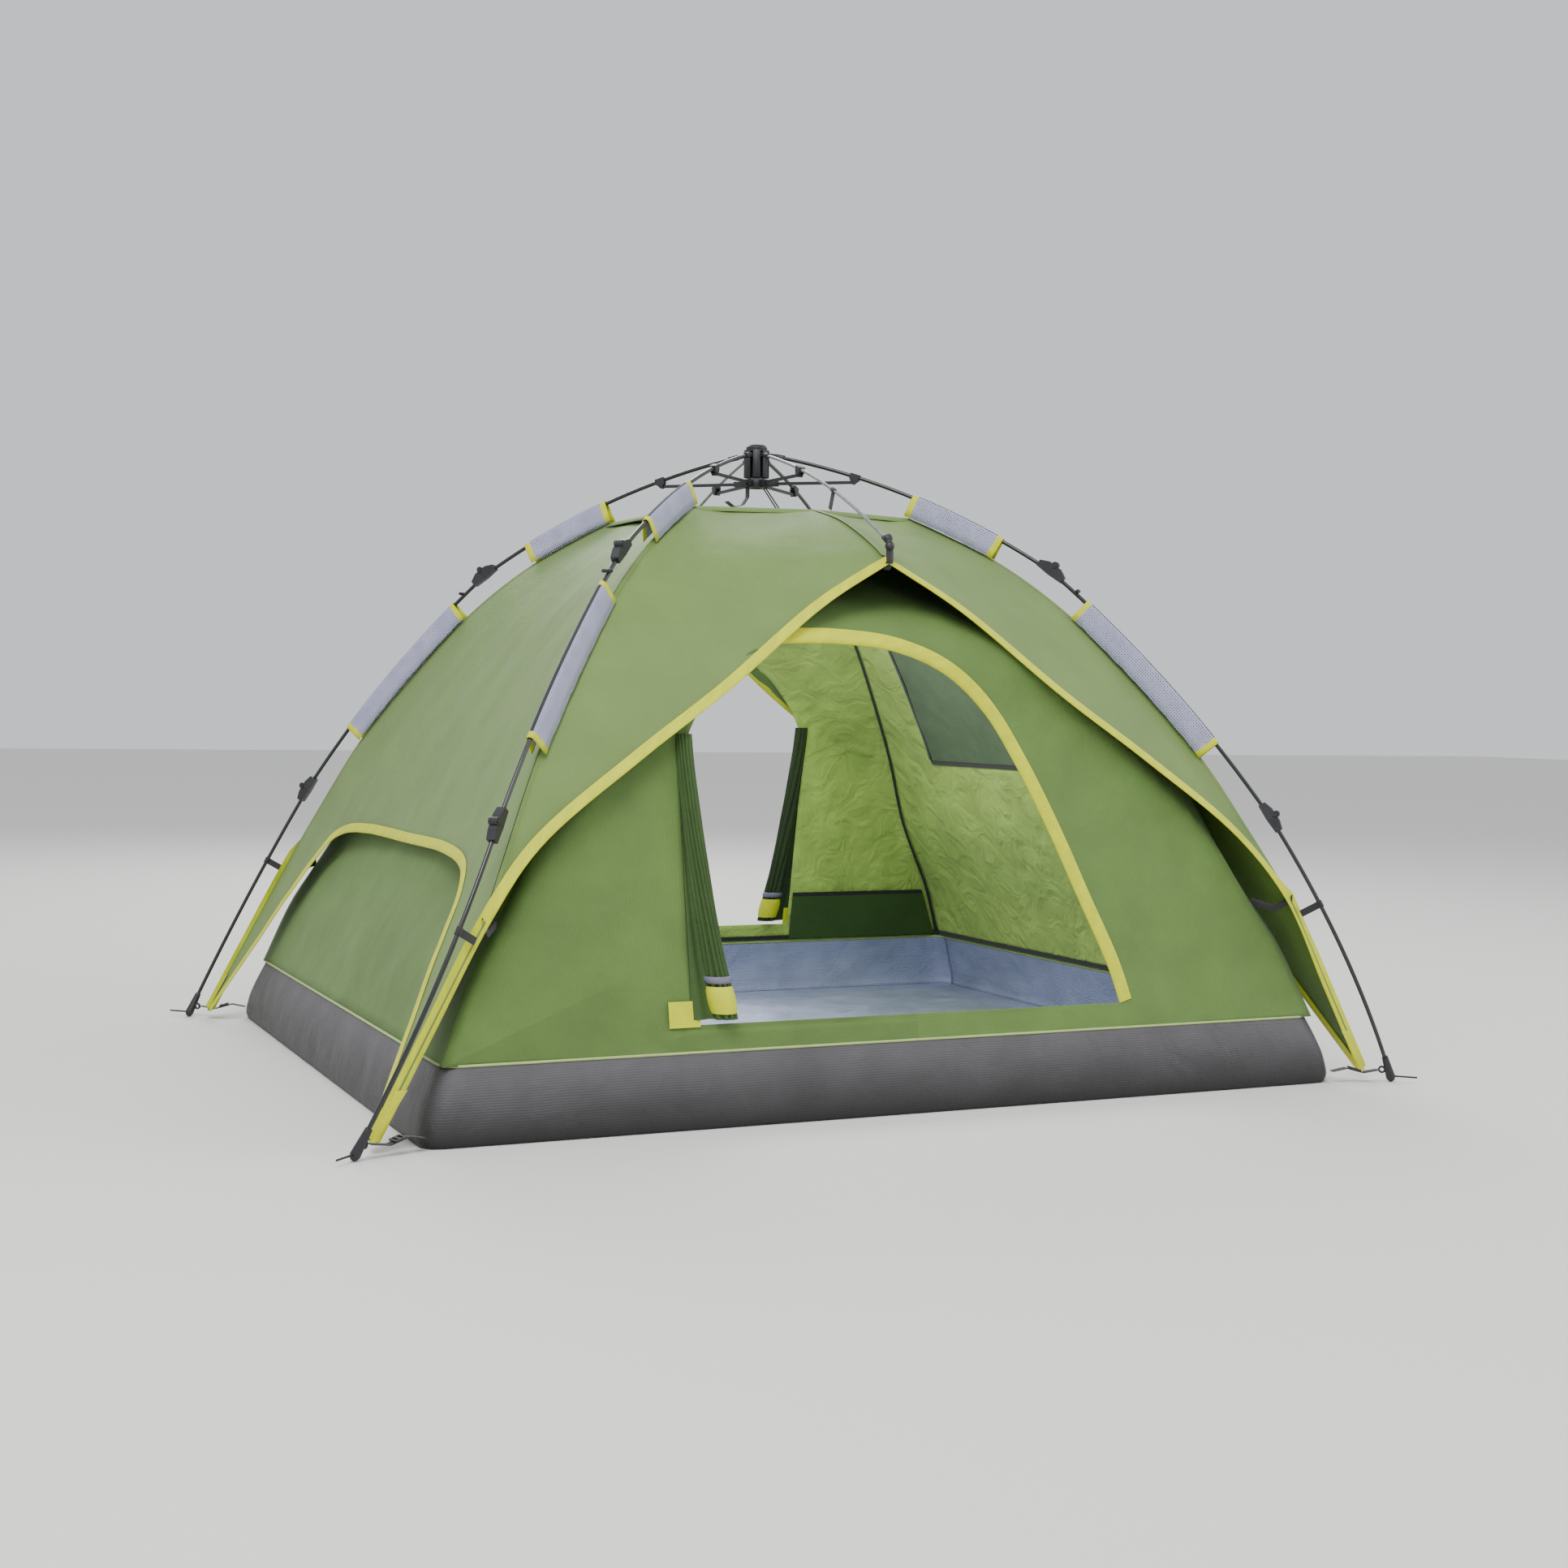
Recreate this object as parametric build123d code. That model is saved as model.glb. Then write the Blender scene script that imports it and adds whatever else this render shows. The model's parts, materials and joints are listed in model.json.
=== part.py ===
from build123d import *
import math
import os

# Automatic dome tent: a fold-down hub frame of four jointed legs and two ridge rods,
# a bucket floor, a walled inner tent and a fly hung under the poles.
# The origin is at the centre of the floor on the ground, the front door faces -Y.

os.makedirs("parts", exist_ok=True)

# ---- fits and clearances ----
running_fit = 0.05       # radial clearance of a pin in its hole, and of a pole in its socket
side_play = 0.4          # clearance on each side of a tongue between two ears
swing_gap = 0.8          # clearance round the ears and tongues that turn past each other
cloth_gap = 0.3          # clearance between a cloth piece and what it rests on

# ---- hub ----
hub_top = 1380.0         # height of the top of the hub above the ground
hub_radius = 29.0
hub_core_radius = 16.0   # bottom of the slots that the arms turn in
hub_height = 62.0        # housing, without its cap
cap_height = 12.0
cap_radius = 24.0
cap_chamfer = 5.0
ring_radius = 24.0       # circle that the arm pivots lie on
arm_pivot_drop = 22.0    # arm pivots below the top of the hub
tongue_width = 6.0
eye_radius = 5.0
pivot_pin_radius = 1.8
socket_length = 22.0     # sockets that the poles start in
socket_wall = 2.2
eye_neck = 4.0           # half height of an arm's tongue at its eye

# ---- runner under the hub ----
runner_drop = 88.0       # strut pivots below the top of the hub
runner_radius = 30.0
runner_height = 18.0
runner_bore_radius = 13.0
strut_ring_radius = 46.0
clevis_reach = 7.0       # runner ears past the strut pivots
clevis_throat = 5.5      # depth of the clevis gaps behind the strut eyes
clevis_ear = 3.0         # thickness of each ear
clevis_drop = 3.0        # ears thinner than the ring, above and below

# ---- legs, each in an upright plane through the hub's axis ----
leg_azimuth = 43.4       # from the X axis
pole_radius = 4.3
arm_root = 46.0          # distance from the hub's axis where the poles start
knuckle_1 = (686.0, 1088.0)   # distance from the hub's axis, height
knuckle_2 = (1167.0, 565.0)
foot_reach = 1420.0
foot_lean = 126.0        # how far the foot stands out of the leg's plane, towards the tent's end
upper_bow = 35.0         # how far each segment is bowed out from its straight line
middle_bow = 22.0
lower_bow = 24.0
lower_side_bow = -31.5

# ---- knuckles ----
knuckle_length = 34.0    # each half
knuckle_width = 17.0
knuckle_inside = 9.0     # depth of the halves on the inner side of the pole
knuckle_1_offset = 17.0  # pivots outside the pole's axis
knuckle_2_offset = 14.0
knuckle_ear = 7.5
knuckle_pin_radius = 2.4
knuckle_head_radius = 4.6
knuckle_head = 1.6
pole_inset = 10.0        # pole ends short of the butting faces
knuckle_wall = 3.0       # round the pole
knuckle_crown = 15.3     # length of the raised part beside the pivot
butt_gap = 0.15          # each half short of the butting plane

# ---- struts and their brackets ----
bracket_reach = 236.0    # strut pivots on the arms, from the hub's axis
bracket_depth = 13.0     # strut pivots below the pole's axis
bracket_length = 22.0
bracket_width = 14.0
bracket_wall = 2.0
bracket_floor = 1.6      # wall between the pole and the strut's slot
strut_width = 7.0
strut_thickness = 5.0
strut_eye_radius = 5.0
strut_pin_radius = 1.8

# ---- ridge rods ----
ridge_radius = 3.5
ridge_reach = 660.0
ridge_end_height = 1116.0
ridge_bow = 28.0
ridge_cap_length = 26.0
ridge_cap_wall = 2.0
ridge_cap_end = 2.0      # past the end of the rod

# ---- feet ----
boot_length = 52.0
boot_top_radius = 6.6
boot_foot_radius = 10.0
boot_tip_radius = 9.0
lug_thickness = 4.0
lug_radius = 8.0
lug_hole_radius = 4.0
lug_height = 26.0
stake_pin_radius = 2.0
stake_pin_length = 42.0
stake_pin_height = 12.0

# ---- floor and inner tent ----
floor_length = 1992.0    # along X
floor_width = 1704.0     # along Y
tub_height = 140.0
tub_lean_x = 46.0        # how far the tub's walls lean in at the top
tub_lean_y = 28.0
tub_wall = 1.2
cloth = 0.8
door_half_width = 470.0
door_sill = 190.0        # height of the door's lower edge
door_top = 910.0
door_shoulder = 680.0    # top of the doorway's straight, hinged side
door_trim_width = 30.0
window_low = 650.0
window_high = 930.0
window_half_width = 430.0
curtain_radius = 22.0
curtain_lift = 26.0      # foot of the gathered door above the sill
window_taper = 0.72      # top of a window, as a share of its foot
piping = 3.0

# ---- fly ----
fly_cloth = 0.8
fly_trim_width = 24.0
trim_thickness = 0.8
fly_tip_height = 20.0
side_arch_height = 500.0

# ---- sleeves, straps and cords ----
sleeve_cloth = 1.0
sleeve_half_width = 21.0
sleeve_drop = 36.0       # depth of a sleeve's skirts below the pole's axis
upper_sleeve_span = (371.0, 588.0)    # from the hub's axis, start and end
lower_sleeve_span = (775.0, 1060.0)
web_width = 18.0
web_thickness = 1.6
web_height = 24.0        # where the webbing is sewn to the floor's corner
web_waves = [(0.30, 6.0), (0.65, -5.0)]   # share of the run, rise of the slack webbing
web_bend = 6.0
buckle_length = 22.0
buckle_rim = 4.0
buckle_slot = 4.0
buckle_slot_offset = 5.0
strap_width = 15.0       # straps between the poles and the fly
lower_strap_reach = 1272.0   # from the hub's axis
lower_strap_drop = 40.0
ridge_strap_reach = 405.0
ridge_strap_drop = 38.0
pull_strap_width = 20.0
pull_strap_bend = 7.0
cord_radius = 1.5
cord_reach = 78.0        # cords' ends on the fly, from the hub's axis

SIDES = {
    "front_right": (-leg_azimuth, 1),
    "back_right": (leg_azimuth, -1),
    "back_left": (180 - leg_azimuth, 1),
    "front_left": (180 + leg_azimuth, -1),
}
RIDGES = {"front": -90.0, "back": 90.0}


def turned(shapes, azimuth):
    """Shapes built in the XZ plane, turned about the hub's axis to an azimuth."""
    return [Rot(0, 0, azimuth) * shape for shape in shapes]


def write(name, shapes):
    solids = [solid for shape in shapes for solid in shape.solids()]
    for number, solid in enumerate(solids):
        solid.label = f"{name}_{number}"
    export_step(Compound(children=solids, label=name), f"parts/{name}.step")


# ---------------------------------------------------------------- curves
def outward(start, end):
    """Unit vector square to a segment of the XZ plane, on its outer side."""
    along = (Vector(*end) - Vector(*start)).normalized()
    return Vector(-along.Z, 0, along.X) if along.Z < 0 else Vector(along.Z, 0, -along.X)


def bowed(start, end, bow, side_bow=0.0):
    """Arc between two points, bowed outwards and sideways at its middle."""
    start, end = Vector(*start), Vector(*end)
    middle = (start + end) * 0.5 + outward(start, end) * bow + Vector(0, side_bow, 0)
    return ThreePointArc(start, middle, end)


def trimmed(arc, from_start, from_end):
    """The part of an arc that is left when both ends are cut back by a length."""
    length = arc.length
    return arc.trim(from_start / length, 1 - from_end / length)


def tube(arc, radius):
    plane = Plane(origin=arc @ 0, z_dir=arc % 0)
    return sweep(plane * Circle(radius), path=arc)


def point_of(reach_and_height, side=0.0):
    return (reach_and_height[0], side, reach_and_height[1])


arm_pivot = (ring_radius, 0.0, hub_top - arm_pivot_drop)
arm_line = bowed(arm_pivot, point_of(knuckle_1), upper_bow)
middle_line = bowed(point_of(knuckle_1), point_of(knuckle_2), middle_bow)
ridge_line = bowed(arm_pivot, (ridge_reach, 0, ridge_end_height), ridge_bow)
root_inset = arm_root - ring_radius


def lower_line(hand):
    foot = (foot_reach, hand * foot_lean, boot_tip_radius)
    return bowed(point_of(knuckle_2), foot, lower_bow, hand * lower_side_bow)


# ---------------------------------------------------------------- small shapes
def disc(centre, radius, half_width, from_side=0.0):
    """Round plate square to the Y axis, from one distance off the plane to another."""
    plane = Plane(origin=centre, x_dir=(1, 0, 0), z_dir=(0, 1, 0))
    plates = []
    if from_side == 0:
        plates.append(plane * Cylinder(radius, 2 * half_width))
    else:
        height = half_width - from_side
        for sign in (-1, 1):
            offset = sign * (from_side + height / 2)
            plates.append(plane * Pos(0, 0, offset) * Cylinder(radius, height))
    return plates


def plate(points, half_width):
    """Flat plate in the XZ plane, its outline given as (x, z), centred on the plane."""
    outline = make_face(Polyline(*[(x, 0, z) for x, z in points], close=True))
    return extrude(outline, half_width, both=True)


def frame_at(point, direction, normal):
    """Places local (along, out) offsets in the XZ plane."""
    def place(along, out):
        spot = Vector(*point) + direction * along + normal * out
        return (spot.X, spot.Z)
    return place


# ---------------------------------------------------------------- knuckles
def knuckle(line_in, line_out, offset):
    """Both halves of a knuckle and its pin. The pivot is on the outer side."""
    corner = line_in @ 1
    flat_out = Vector((line_out % 0).X, 0, (line_out % 0).Z).normalized()
    direction = (line_in % 1 + flat_out).normalized()
    normal = Vector(-direction.Z, 0, direction.X)
    place = frame_at(corner, direction, normal)
    pivot = Vector(*corner) + normal * offset
    half = knuckle_width / 2
    tongue = tongue_width / 2
    shapes = []
    for sign, line in ((-1, line_in), (1, line_out)):
        block = plate(
            [
                place(sign * butt_gap, -knuckle_inside),
                place(sign * butt_gap, offset - swing_gap),
                place(sign * knuckle_crown, offset - swing_gap),
                place(sign * knuckle_length, pole_radius + knuckle_wall),
                place(sign * knuckle_length, -pole_radius - knuckle_wall),
            ],
            half,
        )
        shapes.append(block)
    upper, lower = shapes
    reach = knuckle_ear + swing_gap
    for ear in disc(pivot, knuckle_ear, half, tongue + side_play):
        upper += ear
    for slot in disc(pivot, reach, tongue + side_play):
        upper -= slot
    for cheek in disc(pivot, reach, half + 1, tongue):
        lower -= cheek
    lower += disc(pivot, knuckle_ear, tongue)[0]
    hole = disc(pivot, knuckle_pin_radius + running_fit, half + 1)[0]
    socket_in = tube(trimmed(line_in, 0, pole_inset), pole_radius + running_fit)
    socket_out = tube(trimmed(line_out, pole_inset, 0), pole_radius + running_fit)
    upper = upper - hole - socket_in
    lower = lower - hole - socket_out
    pin = disc(pivot, knuckle_pin_radius, half)[0]
    for head in disc(pivot, knuckle_head_radius, half + knuckle_head, half):
        pin += head
    return [upper, pin], [lower], pivot


# ---------------------------------------------------------------- arms from the hub
def hub_fitting(line, radius):
    """Eye in the hub's slot and the socket that the pole starts in."""
    start = line @ (root_inset / line.length)
    direction = line % (root_inset / line.length)
    normal = Vector(-direction.Z, 0, direction.X)
    place = frame_at(start, direction, normal)
    tongue = plate(
        [
            (arm_pivot[0], arm_pivot[2] - eye_neck),
            (arm_pivot[0], arm_pivot[2] + eye_neck),
            place(2, radius + 1),
            place(2, -radius - 1),
        ],
        tongue_width / 2,
    )
    eye = disc(arm_pivot, eye_radius, tongue_width / 2)[0]
    socket = Plane(origin=start, z_dir=direction) * Pos(0, 0, socket_length / 2) * Cylinder(
        radius + socket_wall, socket_length
    )
    hole = disc(arm_pivot, pivot_pin_radius + running_fit, tongue_width)[0]
    bore = tube(trimmed(line, root_inset, line.length / 2), radius + running_fit)
    return tongue + eye + socket - hole - bore


def line_spot(line, reach):
    """Point and direction where an arm line passes a distance from the hub's axis."""
    low, high = 0.0, 1.0
    for _ in range(40):
        middle = (low + high) / 2
        if (line @ middle).X < reach:
            low = middle
        else:
            high = middle
    return line @ low, line % low


def strut_pivot(line):
    """Pivot of a strut on an arm, under the pole."""
    spot, direction = line_spot(line, bracket_reach)
    normal = Vector(-direction.Z, 0, direction.X)
    return spot - normal * bracket_depth


def bracket(line, radius):
    """Clamp round the arm with two ears that hold the strut's end, and its pin."""
    spot, direction = line_spot(line, bracket_reach)
    normal = Vector(-direction.Z, 0, direction.X)
    pivot = strut_pivot(line)
    place = frame_at(spot, direction, normal)
    half = bracket_width / 2
    body = plate(
        [
            place(-bracket_length / 2, -radius - bracket_wall),
            place(-bracket_length / 2, radius + bracket_wall),
            place(bracket_length / 2, radius + bracket_wall),
            place(bracket_length / 2, -radius - bracket_wall),
            place(eye_radius, -bracket_depth),
            place(-eye_radius, -bracket_depth),
        ],
        half,
    )
    body += disc(pivot, eye_radius, half)[0]
    gap_half = strut_thickness / 2 + side_play
    slot = plate(
        [
            place(-bracket_length, -radius - bracket_floor),
            place(bracket_length, -radius - bracket_floor),
            place(bracket_length, -bracket_depth * 2),
            place(-bracket_length, -bracket_depth * 2),
        ],
        gap_half,
    )
    body -= slot
    length = line.length
    along = length * 0.2
    body -= tube(trimmed(line, root_inset + along / 4, length * 0.4), radius + running_fit)
    body -= disc(pivot, strut_pin_radius + running_fit, half + 1)[0]
    pin = disc(pivot, strut_pin_radius, half + 1)[0]
    return [body, pin]


def strut(line):
    """Flat link from the runner's clevis to the bracket under an arm."""
    outer = strut_pivot(line)
    inner = Vector(strut_ring_radius, 0, hub_top - runner_drop)
    along = (outer - inner).normalized()
    across = Vector(-along.Z, 0, along.X) * (strut_width / 2)
    corners = [inner + across, outer + across, outer - across, inner - across]
    bar = plate([(c.X, c.Z) for c in corners], strut_thickness / 2)
    bar += disc(inner, strut_eye_radius, strut_thickness / 2)[0]
    bar += disc(outer, strut_eye_radius, strut_thickness / 2)[0]
    bar -= disc(outer, strut_pin_radius + running_fit, strut_thickness)[0]
    bar -= disc(inner, strut_pin_radius + running_fit, strut_thickness)[0]
    return bar


# ---------------------------------------------------------------- feet
def boot(line):
    """Tapered rubber foot with a lug on its inner side, and the steel pin through it."""
    end = line @ 1
    back = (line % 1) * -1
    cone = Plane(origin=end, z_dir=back) * Pos(0, 0, boot_length / 2) * Cone(
        boot_foot_radius, boot_top_radius, boot_length
    )
    shape = cone + Pos(end.X, end.Y, end.Z) * Sphere(boot_tip_radius)
    ground = Pos(end.X, end.Y, -50) * Box(200, 200, 100)
    shape -= ground
    rise = (lug_height - end.Z) / back.Z
    beside = end + back * rise
    lug_centre = beside - Vector(boot_foot_radius + lug_radius * 0.5, 0, 0)
    lug = disc(lug_centre, lug_radius, lug_thickness / 2)[0]
    link = Pos(beside.X - boot_foot_radius / 2, beside.Y, beside.Z) * Box(
        boot_foot_radius, lug_thickness, lug_radius
    )
    shape = shape + lug + link
    shape -= disc(lug_centre, lug_hole_radius, lug_thickness)[0]
    shape -= tube(trimmed(line, line.length / 2, 0), pole_radius + running_fit)
    pin_start = Vector(end.X + pole_radius + 2, end.Y, stake_pin_height)
    pin = Plane(origin=pin_start, z_dir=(1, 0, 0)) * Pos(0, 0, stake_pin_length / 2 + 3) * Cylinder(
        stake_pin_radius, stake_pin_length + 6
    )
    hole = Plane(origin=pin_start, z_dir=(1, 0, 0)) * Pos(0, 0, stake_pin_length / 2 + 3) * Cylinder(
        stake_pin_radius + running_fit, stake_pin_length + 6
    )
    return [shape - hole, pin]


def lug_spot(line):
    """Middle of a boot's lug, in the leg's own plane."""
    end = line @ 1
    back = (line % 1) * -1
    beside = end + back * ((lug_height - end.Z) / back.Z)
    return beside - Vector(boot_foot_radius + lug_radius * 0.5, 0, 0)


# ---------------------------------------------------------------- sleeves
def sleeve(line, start_reach, end_reach):
    """Cloth tunnel over a pole: round on top, with two skirts down to the fly."""
    pieces = []
    first, _ = line_spot(line, start_reach)
    last, _ = line_spot(line, end_reach)
    middle, _ = line_spot(line, (start_reach + end_reach) / 2)
    path = ThreePointArc(first, middle, last)
    direction = path % 0
    # in this plane, local X is across the pole and local Y points inwards from it
    plane = Plane(origin=first, x_dir=(0, 1, 0), z_dir=direction)
    inward = -1 if plane.y_dir.Z > 0 else 1
    outer = pole_radius + cloth_gap + sleeve_cloth
    inner = pole_radius + cloth_gap

    def outline(radius, half, drop):
        top = radius * 0.8
        return make_face(
            Polyline(
                (-half, inward * drop),
                (-radius, 0),
                (-top * 0.5, -inward * radius),
                (top * 0.5, -inward * radius),
                (radius, 0),
                (half, inward * drop),
                close=True,
            )
        )

    profile = outline(outer * 1.12, sleeve_half_width, sleeve_drop)
    hollow = outline(inner * 1.12, sleeve_half_width - 1.6 * sleeve_cloth, sleeve_drop + 0.5)
    section = plane * (profile - hollow)
    pieces.append(sweep(section, path=path))
    return pieces


# ---------------------------------------------------------------- cloth shells
def ring(level, corner, edge):
    """Eight-sided outline at a height: the corners by the poles and the door panels' edges."""
    x, y = corner
    w, d = edge
    quarter = [(x, -y), (w, -d), (-w, -d), (-x, -y), (-x, y), (-w, d), (w, d), (x, y)]
    return [(px, py, level) for px, py in quarter]


def away(value):
    return math.copysign(1, value)


def shell_points(outline, inset, drop):
    """An outline moved in on every side and lowered."""
    return [(x - inset * away(x), y - inset * away(y), z - drop) for x, y, z in outline]


def flat_face(points):
    return Face(Wire.make_polygon([Vector(*point) for point in points], close=True))


def walls(outlines):
    """Flat three-sided faces between each outline and the next one down."""
    faces = []
    for upper, lower in zip(outlines, outlines[1:]):
        for number, corner in enumerate(upper):
            following = (number + 1) % len(upper)
            faces.append(flat_face([corner, lower[number], lower[following]]))
            faces.append(flat_face([corner, lower[following], upper[following]]))
    return faces


def closed(faces):
    solid = Solid(Shell(faces))
    return solid if solid.volume > 0 else Solid(solid.wrapped.Reversed())


def in_leg_plane(reach):
    angle = math.radians(leg_azimuth)
    return (reach * math.cos(angle), reach * math.sin(angle))


def skin(outlines, outer, inner):
    """Closed skin between two offsets of the same outlines, open below."""
    outside = [shell_points(outline, -outer, -outer) for outline in outlines]
    inside = [shell_points(outline, -inner, -inner) for outline in outlines]
    level = outlines[-1][0][2]
    outside[-1] = [(x, y, level) for x, y, _ in outside[-1]]
    inside[-1] = [(x, y, level) for x, y, _ in inside[-1]]
    faces = walls(outside) + walls(inside)
    faces += [flat_face(outside[0]), flat_face(inside[0])]
    for number in range(len(outside[-1])):
        following = (number + 1) % len(outside[-1])
        rim = [outside[-1][number], outside[-1][following], inside[-1][following], inside[-1][number]]
        faces.append(flat_face(rim))
    return closed(faces)


seam_half = 6.0          # half width of the seam at the ridges
fly_apex = (662.0, 1081.0)
fly_slope = 0.247        # how far the fly's door edges come forward for each unit down
tip_corner = (1080.0, 842.0)
fly_levels = [
    # distance of the fly's corner from the hub's axis, height, half width of the door arch
    (363.0, 1207.0, 0.0),
    (440.0, 1172.0, 0.0),
    (579.0, 1100.0, 0.0),
    (735.0, 985.0, 150.0),
    (905.0, 815.0, 370.0),
    (1022.0, 682.0, 560.0),
    (1128.0, 526.0, 765.0),
]
fly_shoulder = (1212.0, 396.0)
ridge_seam = [(320.0, 1207.0), (460.0, 1172.0), (625.0, 1100.0)]


def fly_outlines():
    outlines = []
    seam = dict((height, depth) for depth, height in ridge_seam)
    for reach, height, half in fly_levels:
        depth = seam.get(height, fly_apex[0] + fly_slope * (fly_apex[1] - height))
        outlines.append(ring(height, in_leg_plane(reach), (half + seam_half, depth)))
    x, y = in_leg_plane(fly_shoulder[0])
    outlines.append(ring(fly_shoulder[1], (x, y), (x - 2 * seam_half, y + 1)))
    x, y = tip_corner
    outlines.append(ring(fly_tip_height, (x, y), (x - 2 * seam_half, y + 1)))
    return outlines


def mirrored(points):
    return points + [(-a, b) for a, b in reversed(points)]


def upright_prism(points, along, start, end):
    """Prism with an outline in XZ or YZ, between two distances along the other axis."""
    if along == "Y":
        outline = [(a, start, b) for a, b in points]
        direction = (0, 1, 0)
    else:
        outline = [(start, a, b) for a, b in points]
        direction = (1, 0, 0)
    face = make_face(Polyline(*outline, close=True))
    return extrude(face, end - start, dir=direction)


def door_arch_points(grow):
    """Half outline of the fly's door arch, from the ground to its apex."""
    x, _ = in_leg_plane(fly_shoulder[0])
    points = [(tip_corner[0] - 2 * seam_half + 60 + grow, -40)]
    points.append((tip_corner[0] - 2 * seam_half + grow, fly_tip_height))
    points.append((x - 2 * seam_half + grow, fly_shoulder[1]))
    for _, height, half in reversed(fly_levels[3:]):
        points.append((half + grow, height + grow * 0.6))
    points.append((seam_half, fly_apex[1] - 14 + grow))
    return points


def side_arch_points(grow):
    """Half outline of the fly's side arch, from a corner tail to its middle."""
    tail = tip_corner[1] - 26
    return [
        (tail + 20 + grow, -40),
        (tail + grow, fly_tip_height),
        (742 + grow, 150),
        (662 + grow, 300),
        (600 + grow * 0.9, 412 + grow * 0.5),
        (556 + grow * 0.6, 456 + grow * 0.8),
        (490 + grow * 0.2, 478 + grow),
        (300, side_arch_height - 6 + grow),
    ]


def arches(grow):
    """Solids of the four arches that the fly is cut away by, or of the tape round them."""
    doors = mirrored(door_arch_points(grow))
    sides = mirrored(side_arch_points(grow))
    return [
        upright_prism(doors, "Y", -950, -640),
        upright_prism(doors, "Y", 640, 950),
        upright_prism(sides, "X", -1180, -560),
        upright_prism(sides, "X", 560, 1180),
    ]


inner_levels = [
    # corner of the inner tent, height, half width of the door panel
    (251.0, 237.0, 1150.0, 0.0),
    (401.0, 379.0, 1047.0, 0.0),
    (507.0, 480.0, 938.0, 226.0),
    (627.0, 592.0, 772.0, 449.0),
    (710.0, 671.0, 642.0, 604.0),
    (785.0, 732.0, 471.0, 760.0),
    (833.0, 758.0, 386.0, 806.0),
    (889.0, 787.0, 290.0, 860.0),
]
panel_slope = 0.187      # lean of the door panels


def panel_depth(height):
    """Distance of a door panel from the middle of the tent at a height."""
    return floor_width / 2 - tub_lean_y - panel_slope * (height - tub_height)


def inner_outlines():
    outlines = []
    for x, y, height, half in inner_levels:
        depth = panel_depth(height)
        if half == 0:
            depth = min(depth, 2.1 * (1200 - height) + 170)
        outlines.append(ring(height, (x, y), (half + seam_half, depth)))
    x = floor_length / 2 - tub_lean_x
    y = floor_width / 2 - tub_lean_y
    outlines.append(ring(tub_height + cloth_gap, (x, y), (x - 2 * seam_half, y)))
    return outlines


def door_outline(grow, low):
    """D-shaped door: straight on its hinged side, a long curve on the other."""
    half = door_half_width
    right = [(half + grow, low), (0.70 * half + grow, 545), (0.23 * half + grow * 0.7, 856 + grow)]
    left = [
        (-0.46 * half - grow * 0.5, door_top + grow),
        (-half - grow, door_shoulder),
        (-half - grow, low),
    ]
    curve = Spline(*right, left[0])
    corner = ThreePointArc(left[0], (-0.80 * half - grow * 0.8, 812 + grow * 0.6), left[1])
    side = Line(left[1], left[2])
    sill = Line(left[2], right[0])
    return curve, corner, side, sill


def door_prism(grow, low):
    face = make_face(Wire([e for c in door_outline(grow, low) for e in c.edges()]))
    plane = Plane(origin=(0, -950, 0), x_dir=(1, 0, 0), z_dir=(0, -1, 0))
    return extrude(plane * face, -350)


def window_prism(grow):
    points = mirrored(
        [(window_half_width + grow, window_low - grow), (window_half_width * window_taper + grow, window_high + grow)]
    )
    return points


# ---------------------------------------------------------------- the frame
for side, (azimuth, hand) in SIDES.items():
    lower = lower_line(hand)
    first_in, first_out, _ = knuckle(arm_line, middle_line, knuckle_1_offset)
    second_in, second_out, _ = knuckle(middle_line, lower, knuckle_2_offset)
    upper_pole = tube(trimmed(arm_line, root_inset, pole_inset), pole_radius)
    middle_pole = tube(trimmed(middle_line, pole_inset, pole_inset), pole_radius)
    lower_pole = tube(trimmed(lower, pole_inset, 0), pole_radius)
    fittings = [hub_fitting(arm_line, pole_radius), *bracket(arm_line, pole_radius), *first_in]
    write(f"upper_pole_{side}", turned([upper_pole], azimuth))
    write(f"upper_fittings_{side}", turned(fittings, azimuth))
    write(f"middle_pole_{side}", turned([middle_pole], azimuth))
    write(f"middle_fittings_{side}", turned([*first_out, *second_in], azimuth))
    write(f"lower_pole_{side}", turned([lower_pole], azimuth))
    write(f"foot_{side}", turned([*second_out, *boot(lower)], azimuth))
    write(f"upper_sleeve_{side}", turned(sleeve(arm_line, *upper_sleeve_span), azimuth))
    write(f"lower_sleeve_{side}", turned(sleeve(middle_line, *lower_sleeve_span), azimuth))
    write(f"strut_{side}", turned([strut(arm_line)], azimuth))

for side, azimuth in RIDGES.items():
    rod = tube(trimmed(ridge_line, root_inset, 0), ridge_radius)
    end = ridge_line @ 1
    cap = Plane(origin=end, z_dir=ridge_line % 1) * Pos(0, 0, ridge_cap_end - ridge_cap_length / 2) * Cylinder(
        ridge_radius + ridge_cap_wall, ridge_cap_length
    )
    cap = cap - tube(trimmed(ridge_line, ridge_line.length / 2, 0), ridge_radius + running_fit)
    fittings = [hub_fitting(ridge_line, ridge_radius), *bracket(ridge_line, ridge_radius), cap]
    write(f"ridge_rod_{side}", turned([rod], azimuth))
    write(f"ridge_fittings_{side}", turned(fittings, azimuth))
    write(f"strut_{side}", turned([strut(ridge_line)], azimuth))

arm_azimuths = [azimuth for azimuth, _ in SIDES.values()] + list(RIDGES.values())


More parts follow.
